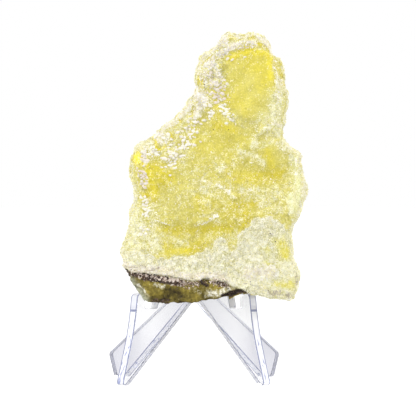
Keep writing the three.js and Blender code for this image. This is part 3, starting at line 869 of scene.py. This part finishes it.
def edge_material(name, tint, glint, clearness):
    """A satin edge of the acrylic: a soft bar between two painted dark lines, which stand in for the
    dark that its rounding bends and mirrors. Where the notch's floor is mirrored, a third painted dark
    line crosses it. The lip above is greyed with painted shade, and painted blue glints, in streaks
    stretched upwards, grow towards the foot."""
    material, tree = new_material(name)
    place = add_node(tree, "TexCoord", {}, {}).outputs["Object"]
    parts = add_node(tree, "SeparateXYZ", {}, {"Vector": place})
    height = parts.outputs["Z"]
    # Painted blue glints: streaks of noise stretched upwards, with more of them towards the foot.
    glint_stretch = add_node(tree, "Mapping", {}, {"Vector": place, "Scale": (1.0, 1.0, 0.35)})
    glint_noise = add_node(tree, "TexNoise", {}, {"Vector": glint_stretch, "Scale": 1 / (0.9 * MM), "Detail": 1.0})
    sinking = add_node(tree, "MapRange", {}, {
        "Value": height, "From Min": GLINT_HEIGHTS[0] * MM, "From Max": GLINT_HEIGHTS[1] * MM,
        "To Min": 0.1, "To Max": 0.0})
    deeper = add_node(tree, "Math", {"operation": "ADD"}, {0: glint_noise, 1: sinking})
    glint_share = add_node(tree, "MapRange", {}, {"Value": deeper, "From Min": 0.64, "From Max": 0.78})
    colour = add_node(tree, "Mix", COLOUR_MIX, {
        FACTOR: glint_share, UNDER: linear(tint), OVER: linear(glint)})
    foremost = add_node(tree, "MapRange", {}, {
        "Value": parts.outputs["Y"], "From Min": CROSS_Y + LIP_DEPTHS[0] * MM,
        "From Max": CROSS_Y + LIP_DEPTHS[1] * MM, "To Min": 1.0, "To Max": 0.0})
    # Painted shade: the lip's top is greyer.
    lip_shade = add_node(tree, "MapRange", {}, {
        "Value": height, "From Min": LIP_HEIGHTS[0] * MM, "From Max": LIP_HEIGHTS[1] * MM,
        "To Min": 0.0, "To Max": 0.5})
    # Painted reflection: a dark line where the notch's floor is seen bent in the edge.
    floor_line_reflection = add_node(tree, "Math", {"operation": "COMPARE"}, {
        0: height, 1: FLOOR_LINE * MM, 2: FLOOR_LINE_HALF * MM})
    # Both plates stand at half a right angle, so what a place is off its plate's middle is the
    # difference of its two distances from the crossing line, apart from a factor of root two.
    offsets = [
        add_node(tree, "Math", {"operation": "SUBTRACT"}, {0: parts.outputs[axis], 1: line})
        for axis, line in (("X", CROSS_X), ("Y", CROSS_Y))]
    reach, depth = [
        add_node(tree, "Math", {"operation": "ABSOLUTE"}, {0: offset}) for offset in offsets]
    off = add_node(tree, "Math", {"operation": "SUBTRACT"}, {0: reach, 1: depth})
    off = add_node(tree, "Math", {"operation": "ABSOLUTE"}, {0: off})
    # Painted dark lines along both borders, which stand in for the dark that a rounded edge bends and
    # mirrors.
    border = add_node(tree, "MapRange", {}, {
        "Value": off, "From Min": LINES_OFF_MIDDLE[0] * MM, "From Max": LINES_OFF_MIDDLE[1] * MM})
    low = add_node(tree, "MapRange", {}, {
        "Value": height, "From Min": LINED_HEIGHTS[0] * MM, "From Max": LINED_HEIGHTS[1] * MM,
        "To Min": 1.0, "To Max": 0.0})
    lined = add_node(tree, "Math", {"operation": "MAXIMUM"}, {0: low, 1: foremost})
    # Painted shade on the lip, a painted reflection of the notch's floor that crosses it as a dark
    # line, and painted dark lines along both borders.
    for first, second, coat in (
            (lip_shade, foremost, "#B9BCCA"), (floor_line_reflection, foremost, "#8E94B0"),
            (border, lined, "#858CAD")):
        share = add_node(tree, "Math", {"operation": "MULTIPLY"}, {0: first, 1: second})
        colour = add_node(tree, "Mix", COLOUR_MIX, {FACTOR: share, UNDER: colour, OVER: linear(coat)})
    surface = add_node(tree, "BsdfPrincipled", {}, {
        "Base Color": colour, "Roughness": 0.1, "IOR": 1.49, "Transmission Weight": clearness})
    add_node(tree, "OutputMaterial", {}, {"Surface": surface})
    return material


# ------------------------------------------------------------------ the slab
# Sizes of the slab's relief, in mm.
LUMP_SIZE = 2.4
SMALL_LUMP_SIZE = 0.9
LEDGE_LUMP_SIZE = 1.2
GRAIN_SIZE = 0.6
CHIP_SIZE = 3.5
BACK_CHIP_SIZE = 9
ROCK_GRAIN_SIZE = 1.0
BAND_HEIGHT = 0.9
BAND_WANDER_SIZE = 3
# Heights, in mm: a band of the layered crust, the ledge and the white crust raised over the rest,
# and the rock and its back set in.
BAND_RISE = 0.08
LEDGE_RISE = 0.45
WHITE_RISE = 0.2
ROCK_SINK = 0.45
BACK_SINK = 0.45
# The height on a lump, from 0 to 1, that stays where the skin is.
LUMP_MIDDLE = 0.7
# Share of the depth behind which the rock is its broken back.
BACK_FROM = 0.6


def specimen_skin():
    """The specimen's skin as an even, smooth mesh, from the solid."""
    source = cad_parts["brucite_specimen"].data.copy()
    cleaner = bmesh.new()
    cleaner.from_mesh(source)
    bmesh.ops.remove_doubles(cleaner, verts=cleaner.verts, dist=0.01 * MM)
    cleaner.to_mesh(source)
    cleaner.free()
    source.materials.clear()
    piece = new_object("specimen_skin", source)
    remesh = piece.modifiers.new("remesh", "REMESH")
    remesh.mode = "VOXEL"
    remesh.voxel_size = bpy.context.scene.specimen_settings.voxel
    soften = piece.modifiers.new("soften", "SMOOTH")
    soften.factor = 0.5
    soften.iterations = 10
    return baked(piece)


def roughen(piece):
    """Raises the relief of the skin, stores its zones and returns how far each point is rock."""
    mesh = piece.data
    places = in_mm(vectors(mesh.vertices, "co"))
    normals = vectors(mesh.vertex_normals, "vector")
    masks = zones(places)
    x, y, z = places.T
    rock = masks["rock"]
    smooth = masks["sleek"]
    ledge = masks["ledge"]
    layer = masks["layer"]

    # The crust: lumps, which are lower where it is smooth or layered, and grain.
    height = bpy.context.scene.specimen_settings.lump_height / MM
    crusty = (1 - rock) * (1 - 0.85 * smooth) * (1 - 0.8 * layer)
    knobbly = 0.45 + 0.55 * np.clip(masks["pale"] + masks["white"], 0, 1)
    lift = crusty * knobbly * height * (lumps_at(places, LUMP_SIZE, 1) - LUMP_MIDDLE) * 1.3
    lift += crusty * 0.6 * height * (lumps_at(places, SMALL_LUMP_SIZE, 2) - LUMP_MIDDLE)
    lift += 0.16 * noise_at(places, GRAIN_SIZE, 7) * (1 - 0.6 * smooth) * (1 - 0.5 * layer)
    lift += 0.3 * ledge * (1 - rock) * (lumps_at(places, LEDGE_LUMP_SIZE, 4) - LUMP_MIDDLE)
    lift += (LEDGE_RISE * ledge + WHITE_RISE * masks["white"] + swell_at(x, z)) * (1 - rock)

    # The rock: broken faces, larger at the back.
    chips = 0.2 * facets_at(places, CHIP_SIZE, 1)
    lift += rock * (chips - ROCK_SINK + 0.1 * noise_at(places, ROCK_GRAIN_SIZE, 8))
    back = rock * (depth_share(y, z) > BACK_FROM)
    lift += back * (0.17 * facets_at(places, BACK_CHIP_SIZE, 2) - BACK_SINK)
    lift += rock * patches(ROCK_BULGES, x, z)

    # The layered band over the rock.
    wander = noise_at(places, BAND_WANDER_SIZE, 9)
    bands = np.sin((z - height_on(MATRIX_LINE, x)) * 2 * math.pi / BAND_HEIGHT + wander)
    lift += BAND_RISE * layer * bands
    moved = places + normals * lift[:, None]
    mesh.vertices.foreach_set("co", (moved * MM + np.array(CROSSING)).ravel())
    store(mesh, masks)
    mesh.update()
    return rock


def parted(skin, name, goes):
    """A piece with the skin's faces apart from those whose points all go."""
    cutter = bmesh.new()
    cutter.from_mesh(skin.data)
    cutter.verts.ensure_lookup_table()
    others = [face for face in cutter.faces if all(goes[v.index] for v in face.verts)]
    bmesh.ops.delete(cutter, geom=others, context="FACES")
    mesh = bpy.data.meshes.new(name)
    cutter.to_mesh(mesh)
    cutter.free()
    shade_smooth(mesh)
    return new_object(name, mesh)


class SPECIMEN_OT_slab(bpy.types.Operator):
    """Build the slab of crust and matrix"""

    bl_idname = "specimen.slab"
    bl_label = "Slab"

    def execute(self, context):
        skin = specimen_skin()
        rock = roughen(skin)
        for name, goes, material in (
                ("brucite_crust", rock > 0.5, brucite_material()),
                ("serpentine_matrix", rock <= 0.5, matrix_material())):
            piece = parted(skin, name, goes)
            piece.data.materials.append(material)
            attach(piece, "root")
            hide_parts("brucite_specimen")
        bpy.data.meshes.remove(skin.data)
        return {"FINISHED"}


# ------------------------------------------------------------------ crystals, nodules and grains
# Where the rays start that look for the surface, in mm behind the crossing line: far in front.
RAY_START = -80
# Spread of nodules and grains off a band's or a patch's crest, as a share of its half width.
SPREAD = 0.55
# Least gap to the next nodule, and depth by which one is sunk, as shares of its radius.
NODULE_GAP = 0.4
NODULE_SINK = 0.25
NODULE_TRIES = 14
# Least and greatest stretch of a nodule, across, in depth and upwards, and its turn in radians.
NODULE_STRETCH = ((0.9, 0.6, 0.65), (1.35, 0.85, 0.95))
NODULE_TURN = 0.5
# Height and size of a nodule's swells, in radii. Each nodule takes them from its own part of the
# noise, this many sizes from the next.
SWELL_HEIGHT = 0.3
SWELL_SIZE = 0.9
SWELL_STEP = 9
# Radii of the seam's grains, in mm, and the tone of the crust's dark specks.
GRAIN_RADII = (0.12, 0.34)
SPECK_TONE = 0.1
NODULE_SEED = 11
GRAIN_SEED = 23
# Share of its radius by which a crystal's middle is over the skin, and its scatter, in mm.
CRYSTAL_RISE = 0.2
CRYSTAL_SCATTER = 0.08
CRYSTAL_STRETCH = (0.55, 1.25)
CRYSTAL_CORNERS = np.array([
    (1, 0, 0), (-1, 0, 0), (0, 1, 0), (0, -1, 0), (0, 0, 1), (0, 0, -1)])
CRYSTAL_FACES = np.array([
    (0, 2, 4), (2, 1, 4), (1, 3, 4), (3, 0, 4), (2, 0, 5), (1, 2, 5), (3, 1, 5), (0, 3, 5)])


def grown(name, mesh, material):
    """A piece that grew on the slab."""
    mesh.materials.append(material)
    piece = new_object(name, mesh)
    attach(piece, "root")


def skin_tree():
    """Search tree of the finished crust and matrix."""
    places = []
    faces = []
    for name in ("brucite_crust", "serpentine_matrix"):
        mesh = bpy.data.objects[name].data
        first = len(places)
        places += [v.co for v in mesh.vertices]
        faces += [[first + i for i in p.vertices] for p in mesh.polygons]
    return BVHTree.FromPolygons(places, faces)


def seen_at(tree, x, z):
    """Place and normal of what the front shows at (x, z), in mm from the crossing line."""
    start = CROSSING + Vector((x, RAY_START, z)) * MM
    place, normal, _, _ = tree.ray_cast(start, Vector((0, 1, 0)))
    return place, normal


def along(crest, share):
    """Point at a share of the length of a line of (x, z) points."""
    points = [Vector(p) for p in crest]
    lengths = [(b - a).length for a, b in zip(points, points[1:])]
    left = share * sum(lengths)
    for a, b, length in zip(points, points[1:], lengths):
        if left <= length:
            return a.lerp(b, left / length)
        left -= length
    return points[-1]


def turned(count, draw):
    """Random turns, as an array of matrices."""
    q = draw.normal(size=(count, 4))
    w, x, y, z = (q / np.linalg.norm(q, axis=1)[:, None]).T
    return np.stack([
        1 - 2 * (y * y + z * z), 2 * (x * y - z * w), 2 * (x * z + y * w),
        2 * (x * y + z * w), 1 - 2 * (x * x + z * z), 2 * (y * z - x * w),
        2 * (x * z - y * w), 2 * (y * z + x * w), 1 - 2 * (x * x + y * y),
    ], axis=1).reshape(-1, 3, 3)


def repeated_mesh(name, placed, faces):
    """One mesh of many bodies: the corners of each, and the faces that they all have."""
    count, corner_count, _ = placed.shape
    all_faces = (faces[None] + corner_count * np.arange(count)[:, None, None]).reshape(-1, 3)
    mesh = bpy.data.meshes.new(name)
    mesh.from_pydata(placed.reshape(-1, 3), [], all_faces)
    return mesh


def crystals_mesh(name, centres, sizes, draw):
    """Small eight-faced crystals at the centres, in metres, as one mesh."""
    count = len(centres)
    squash = draw.uniform(*CRYSTAL_STRETCH, size=(count, 1, 3))
    local = CRYSTAL_CORNERS[None] * squash * sizes[:, None, None]
    placed = np.einsum("nij,nkj->nki", turned(count, draw), local) + centres[:, None]
    return repeated_mesh(name, placed, CRYSTAL_FACES)


def lumps_mesh(name, centres, sizes, draw):
    """Flattened knobbly lumps at the centres, in metres, as one mesh."""
    ball = bmesh.new()
    bmesh.ops.create_icosphere(ball, subdivisions=3, radius=1)
    corners = np.array([v.co for v in ball.verts])
    faces = np.array([[v.index for v in f.verts] for f in ball.faces])
    ball.free()
    count = len(centres)
    squash = draw.uniform(*NODULE_STRETCH, size=(count, 3))[:, None]
    where = (corners + SWELL_STEP * np.arange(count)[:, None, None]).reshape(-1, 3)
    swell = 1 + SWELL_HEIGHT * noise_at(where, SWELL_SIZE, 3).reshape(count, -1, 1)
    local = corners * squash * swell * sizes[:, None, None]
    turn = draw.normal(0, NODULE_TURN, size=count)
    sine, cosine = np.sin(turn)[:, None], np.cos(turn)[:, None]
    x, y, z = np.moveaxis(local, 2, 0)
    placed = np.stack([x * cosine - z * sine, y, x * sine + z * cosine], axis=2) + centres[:, None]
    return repeated_mesh(name, placed, faces)


class SPECIMEN_OT_crystals(bpy.types.Operator):
    """Build the frost and the sugar crystals on the crust"""

    bl_idname = "specimen.crystals"
    bl_label = "Frost and sugar crystals"

    def execute(self, context):
        mesh = bpy.data.objects["brucite_crust"].data
        count = len(mesh.polygons)
        centres = vectors(mesh.polygons, "center")
        normals = vectors(mesh.polygons, "normal")
        masks = zones(in_mm(centres))
        # Few crystals grow on the sleek and the layered crust.
        weight = (1 - 0.96 * masks["sleek"]) * (1 - 0.6 * masks["layer"])
        wanted = context.scene.specimen_settings.grain_count
        for name, material, seed, frosty, least, greatest in (
                ("frost_crystals", frost_material(), 5, 1.0, 0.1, 0.24),
                ("sugar_crystals", brucite_material(), 6, 0.2, 0.12, 0.26)):
            draw = np.random.default_rng(seed)
            share = weight * (0.1 + frosty * (masks["pale"] + masks["white"] + 0.4 * masks["ledge"]))
            chosen = draw.choice(count, size=wanted, p=share / share.sum())
            sizes = draw.uniform(least, greatest, size=wanted) * MM
            spots = centres[chosen] + normals[chosen] * (CRYSTAL_RISE * sizes)[:, None]
            spots += draw.normal(size=(wanted, 3)) * CRYSTAL_SCATTER * MM
            crystals = crystals_mesh(name, spots, sizes, draw)
            colours = {zone: mask[chosen] for zone, mask in masks.items()}
            # Some crystals are paler than the crust under them, and the ledge's differ less in tone.
            paler = np.clip(draw.normal(0.1, 0.3, size=wanted), 0, 1)
            colours["pale"] = np.clip(colours["pale"] + paler, 0, 1)
            even = 0.7 * colours["ledge"]
            colours["tone"] = draw.random(wanted) * (1 - even) + 0.5 * even
            for zone in (*STORED_ZONES, "tone"):
                store_values(crystals, zone, np.repeat(colours[zone], len(CRYSTAL_CORNERS)))
            grown(name, crystals, material)
        return {"FINISHED"}


class SPECIMEN_OT_nodules(bpy.types.Operator):
    """Build the white nodules on the crust"""

    bl_idname = "specimen.nodules"
    bl_label = "White nodules"

    def execute(self, context):
        draw = np.random.default_rng(NODULE_SEED)
        tree = skin_tree()
        spots = []
        sizes = []
        tints = []
        for crest, half_width, count, least, greatest, rose in NODULE_BANDS:
            for i in range(count):
                radius = draw.uniform(least, greatest) * MM
                for _ in range(NODULE_TRIES):
                    middle = along(crest, (i + draw.random()) / count)
                    x, z = draw.normal(size=2) * SPREAD * half_width
                    place, normal = seen_at(tree, middle.x + x, middle.y + z)
                    if place is None:
                        continue
                    room = min([(place - spot).length - size for spot, size in zip(spots, sizes)],
                               default=radius)
                    if room > NODULE_GAP * radius:
                        spots.append(place - normal * NODULE_SINK * radius)
                        sizes.append(radius)
                        tints.append(rose * draw.uniform(0.4, 1.0))
                        break
        mesh = lumps_mesh("white_nodules", np.array(spots), np.array(sizes), draw)
        store_values(mesh, "rose", np.repeat(tints, len(mesh.vertices) // len(tints)))
        shade_smooth(mesh)
        grown("white_nodules", mesh, nodule_material())
        return {"FINISHED"}


class SPECIMEN_OT_grains(bpy.types.Operator):
    """Build the oxide and chalk grains of the seam and the dark specks of the crust"""

    bl_idname = "specimen.grains"
    bl_label = "Seam grains"

    def execute(self, context):
        draw = np.random.default_rng(GRAIN_SEED)
        tree = skin_tree()
        wanted = [(x, z, radius, SPECK_TONE) for x, z, radius in DARK_SPECKS]
        for table, per_patch, darkest, palest in (
                (SEAM_PATCHES, 200, 0.0, 1.2), (DARK_PATCHES, 60, 0.0, 0.25)):
            for crest, half_width, strength in table:
                for _ in range(int(per_patch * strength)):
                    middle = along(crest, draw.random())
                    x, z = draw.normal(size=2) * SPREAD * half_width
                    tone = draw.uniform(darkest, palest)
                    radius = draw.uniform(*GRAIN_RADII)
                    wanted.append((middle.x + x, middle.y + z, radius, tone))
        spots = []
        sizes = []
        tones = []
        for x, z, radius, tone in wanted:
            place, _ = seen_at(tree, x, z)
            if place is not None:
                spots.append(place)
                sizes.append(radius * MM)
                tones.append(tone)
        mesh = crystals_mesh("seam_grains", np.array(spots), np.array(sizes), draw)
        store_values(mesh, "tone", np.repeat(tones, len(mesh.vertices) // len(tones)))
        grown("seam_grains", mesh, seam_grain_material())
        return {"FINISHED"}


# ------------------------------------------------------------------ easel
def rounded_outline(corners):
    """Points of a closed outline through (u, z, reach) corners with rounded turns."""
    outline = []
    for i, (u, z, reach) in enumerate(corners):
        corner = Vector((u, z))
        before = Vector(corners[i - 1][:2])
        after = Vector(corners[(i + 1) % len(corners)][:2])
        start = corner + (before - corner).normalized() * reach
        end = corner + (after - corner).normalized() * reach
        count = ROUNDING_STEPS if reach > 0 else 0
        for k in range(count + 1):
            t = k / count if count else 0
            outline.append(start.lerp(corner, t).lerp(corner.lerp(end, t), t))
    return outline


def plate_corners(arch, top):
    """Corners (u, z, reach of the rounding) of a plate's outline, from the front toe round."""
    return (
        (FRONT_TOE, 0, 1.5), (FRONT_HEEL, 0, 1.0), *arch, (REAR_HEEL, 0, 0.6), (REAR_TOE, 0, 0.9),
        (*REAR_CORNER, 1), (*MAST_BACK, 6), *top, (MAST_TOP_FRONT, MAST_TOP, 2.2),
        (*MAST_FOOT, 0.8), (NOTCH_FRONT, MAST_FOOT[1], 0.8), (NOTCH_FRONT, LIP_TOP, 1.6),
        (LIP_FRONT, LIP_TOP, 1.6), (*FOREARM_BEND, 6),
    )


def finish_of(face, along_plate, across):
    """Number of the finish of a plate's face: clear, satin, sawn or arris."""
    sideways = abs(face.normal.dot(across))
    place = (face.center - CROSSING) / MM
    behind_notch_wall = place.dot(along_plate) > NOTCH_FRONT - NOTCH_MARGIN
    before_mast = place.dot(along_plate) < MAST_FOOT[0] - NOTCH_MARGIN
    if behind_notch_wall and before_mast and place.z > NOTCH_CLEAR_FROM:
        return CLEAR
    if sideways < EDGE_FACING:
        rearward = face.normal.dot(along_plate) > SAWN_FACING
        return SAWN if rearward and face.normal.z > UNDER_FACING else SATIN
    return ARRIS if sideways < SIDE_FACING else CLEAR


def plate_piece(name, corners, turn, materials):
    """One clear plate with polished faces, satin edges, and sawn ones at the back."""
    outline = rounded_outline(corners)
    half = PLATE_THICKNESS / 2
    builder = bmesh.new()
    along_plate = Vector((math.cos(turn), math.sin(turn), 0))
    across = Vector((-math.sin(turn), math.cos(turn), 0))
    rings = []
    for side in (-half, half):
        middle = [along_plate * p.x + across * side + Vector((0, 0, p.y)) for p in outline]
        rings.append([builder.verts.new(CROSSING + place * MM) for place in middle])
    builder.faces.new(rings[1])
    builder.faces.new(reversed(rings[0]))
    for i in range(len(outline)):
        k = (i + 1) % len(outline)
        builder.faces.new((rings[0][i], rings[0][k], rings[1][k], rings[1][i]))
    bmesh.ops.recalc_face_normals(builder, faces=builder.faces)
    mesh = bpy.data.meshes.new(name)
    builder.to_mesh(mesh)
    builder.free()
    shade_smooth(mesh)
    piece = new_object(name, mesh)
    bevel = piece.modifiers.new("bevel", "BEVEL")
    bevel.width = bpy.context.scene.easel_settings.edge_radius
    bevel.segments = BEVEL_STEPS
    bevel.limit_method = "ANGLE"
    bevel.angle_limit = math.radians(60)
    bevel.harden_normals = True
    baked(piece)
    for material in materials:
        piece.data.materials.append(material)
    for face in piece.data.polygons:
        face.material_index = finish_of(face, along_plate, across)
    return piece


class EASEL_OT_plates(bpy.types.Operator):
    """Build the two clear plates of the easel"""

    bl_idname = "easel.plates"
    bl_label = "Easel plates"

    def execute(self, context):
        half = SLOT_HALF
        lap_top = LAP_HEIGHT + GAP
        lap_foot = LAP_HEIGHT - GAP
        slot_below = (
            (-half, ARCH_SLOTTED, 0.6), (-half, lap_top, 0), (half, lap_top, 0),
            (half, ARCH_SLOTTED, 0.6),
        )
        slot_above = (
            (5, MAST_TOP, 1.6), (half, MAST_TOP, 0.5), (half, lap_foot, 0),
            (-half, lap_foot, 0), (-half, MAST_TOP, 0.5),
        )
        # The sawn edges and the arrises are tinted a dark lavender grey: painted dark outlines, for
        # what they bend and mirror. The glints of all three are painted.
        acrylic = (
            acrylic_material(),
            edge_material("satin acrylic edge with painted lines", "#FCFCFE", "#9FA6CA", 0.3),
            edge_material("sawn acrylic edge painted dark", "#A2A8C2", "#DCE0F2", 0.5),
            edge_material("acrylic arris painted dark", "#A4A9C0", "#B9BED6", 0.5),
        )
        left = plate_piece("clear_plate_left", plate_corners(slot_below, ((4, MAST_TOP, 2.5),)),
                           PLATE_TURN, acrylic)
        right = plate_piece("clear_plate_right", plate_corners(((0, ARCH_PLAIN, 3),), slot_above),
                            math.pi - PLATE_TURN, acrylic)
        for piece, node in ((left, "easel_plate_left"), (right, "easel_plate_right")):
            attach(piece, "root")
            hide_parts(node)
        return {"FINISHED"}


# ------------------------------------------------------------------ stage
# Where the camera looks, in mm from the foot of the crossing line.
VIEW_CENTRE = (4.356, 0, 53.025)
SENSOR_WIDTH = 36
FLOOR_REACH = 6.0
SQUARE = ((-1, -1), (1, -1), (1, 1), (-1, 1))
# Light runs a long way to and fro inside the plates before it leaves at an edge.
LIGHT_BOUNCES = 40
# Name, place and size in metres, and power in watts.
SOFTBOXES = (
    ("key softbox", (-0.3, -0.8, 1.2), 0.9, 5.7),
    ("left softbox", (-0.9, -0.4, 0.3), 0.7, 6.0),
    ("right softbox", (0.9, -0.45, 0.35), 0.7, 6.0),
    ("front softbox", (0.3, -1.5, 0.5), 0.8, 3.0),
    ("back softbox", (0.4, 1.1, 0.9), 0.7, 7.0),
)


def sweep_material():
    """White paper that glows: evenly white to the eye. To other rays its glow lights the scene as a
    bounce would; it is dimmer towards the front, with painted shade to the right and back.
    """
    material, tree = new_material("white paper sweep")
    place = add_node(tree, "TexCoord", {}, {}).outputs["Object"]
    parts = add_node(tree, "SeparateXYZ", {}, {"Vector": place})
    front = add_node(tree, "MapRange", {}, {
        "Value": parts.outputs["Y"], "From Min": -0.8, "From Max": -0.3, "To Min": 0.25,
        "To Max": 0.88})
    # Painted shade: the paper's glow is weaker to the right and back, in what it mirrors and shows
    # through the plates.
    slant = add_node(tree, "Math", {"operation": "MULTIPLY_ADD"}, {
        0: parts.outputs["X"], 1: 5.0, 2: parts.outputs["Y"]})
    painted_floor_shade = add_node(tree, "MapRange", {}, {
        "Value": slant, "From Min": 0.2, "From Max": 0.8, "To Min": 0.0, "To Max": 0.34})
    glow = add_node(tree, "Math", {"operation": "SUBTRACT"}, {0: front, 1: painted_floor_shade})
    path = add_node(tree, "LightPath", {}, {})
    strength = add_node(tree, "Mix", {"data_type": "FLOAT"}, {
        0: path.outputs["Is Camera Ray"], 2: glow, 3: 0.93})
    surface = add_node(tree, "BsdfPrincipled", {}, {
        "Base Color": (0.12, 0.12, 0.12, 1), "Roughness": 0.9, "Emission Color": (1, 1, 1, 1),
        "Emission Strength": strength})
    add_node(tree, "OutputMaterial", {}, {"Surface": surface})
    return material


def studio_world():
    """White behind everything and dim in front, as a white sweep in a darker room."""
    world = bpy.data.worlds.new("white studio")
    world.use_nodes = True
    tree = world.node_tree
    tree.nodes.clear()
    direction = add_node(tree, "TexCoord", {}, {}).outputs["Generated"]
    parts = add_node(tree, "SeparateXYZ", {}, {"Vector": direction})
    behind = add_node(tree, "MapRange", {}, {
        "Value": parts.outputs["Y"], "From Min": -0.9, "From Max": -0.35})
    colour = add_node(tree, "Mix", COLOUR_MIX, {
        FACTOR: behind, UNDER: (0.22, 0.23, 0.3, 1), OVER: (0.95, 0.95, 0.97, 1)})
    lit = add_node(tree, "Background", {}, {"Color": colour, "Strength": 1.0})
    seen = add_node(tree, "Background", {}, {"Color": (1, 1, 1, 1), "Strength": 1.0})
    path = add_node(tree, "LightPath", {}, {})
    both = add_node(tree, "MixShader", {}, {0: path.outputs["Is Camera Ray"], 1: lit, 2: seen})
    add_node(tree, "OutputWorld", {}, {"Surface": both})
    return world


class STAGE_OT_studio(bpy.types.Operator):
    """Build the floor, the lights and the camera"""

    bl_idname = "stage.studio"
    bl_label = "Studio"

    def execute(self, context):
        scene = context.scene
        settings = scene.stage_settings
        scene.view_settings.view_transform = "Standard"
        scene.cycles.max_bounces = LIGHT_BOUNCES
        scene.cycles.transmission_bounces = LIGHT_BOUNCES
        scene.cycles.glossy_bounces = LIGHT_BOUNCES
        target = CROSSING + Vector(VIEW_CENTRE) * MM
        camera_data = bpy.data.cameras.new("camera")
        camera_data.sensor_width = SENSOR_WIDTH
        camera_data.lens = SENSOR_WIDTH * settings.distance / settings.view_width
        camera_data.clip_start = 0.01
        camera = bpy.data.objects.new("camera", camera_data)
        rise = settings.elevation
        camera.location = target + settings.distance * Vector((0, -math.cos(rise), math.sin(rise)))
        camera.rotation_euler = (math.pi / 2 - rise, 0, 0)
        scene.collection.objects.link(camera)
        scene.camera = camera

        mesh = bpy.data.meshes.new("floor")
        corners = [(x * FLOOR_REACH, y * FLOOR_REACH, 0) for x, y in SQUARE]
        mesh.from_pydata(corners, [], [(0, 1, 2, 3)])
        floor = new_object("floor", mesh)
        mesh.materials.append(sweep_material())

        scene.world = studio_world()
        for name, place, size, power in SOFTBOXES:
            light = bpy.data.lights.new(name, "AREA")
            light.shape = "SQUARE"
            light.size = size
            light.energy = power
            lamp = bpy.data.objects.new(name, light)
            lamp.location = Vector(place)
            lamp.rotation_euler = (target - Vector(place)).to_track_quat("-Z", "Y").to_euler()
            scene.collection.objects.link(lamp)
        return {"FINISHED"}


class SPECIMEN_PT_panel(bpy.types.Panel):
    """Lists the operators that build the model"""

    bl_idname = "SPECIMEN_PT_panel"
    bl_label = "Brucite specimen"
    bl_space_type = "VIEW_3D"
    bl_region_type = "UI"
    bl_category = "Specimen"

    def draw(self, context):
        for operator in OPERATORS:
            self.layout.operator(operator.bl_idname)


OPERATORS = (
    SPECIMEN_OT_slab, SPECIMEN_OT_crystals, SPECIMEN_OT_nodules, SPECIMEN_OT_grains,
    EASEL_OT_plates, STAGE_OT_studio,
)
SETTINGS = {
    "specimen_settings": SpecimenSettings,
    "easel_settings": EaselSettings,
    "stage_settings": StageSettings,
}


def register():
    """Registers the settings, the operators and the panel."""
    for name, group in SETTINGS.items():
        bpy.utils.register_class(group)
        setattr(bpy.types.Scene, name, PointerProperty(type=group))
    for operator in OPERATORS:
        bpy.utils.register_class(operator)
    bpy.utils.register_class(SPECIMEN_PT_panel)


def unregister():
    """Takes them away again."""
    bpy.utils.unregister_class(SPECIMEN_PT_panel)
    for operator in reversed(OPERATORS):
        bpy.utils.unregister_class(operator)
    for name, group in SETTINGS.items():
        delattr(bpy.types.Scene, name)
        bpy.utils.unregister_class(group)


def main():
    """Builds everything in order."""
    register()
    bpy.ops.specimen.slab()
    bpy.ops.specimen.crystals()
    bpy.ops.specimen.nodules()
    bpy.ops.specimen.grains()
    bpy.ops.easel.plates()
    bpy.ops.stage.studio()


if __name__ == "__main__":
    main()
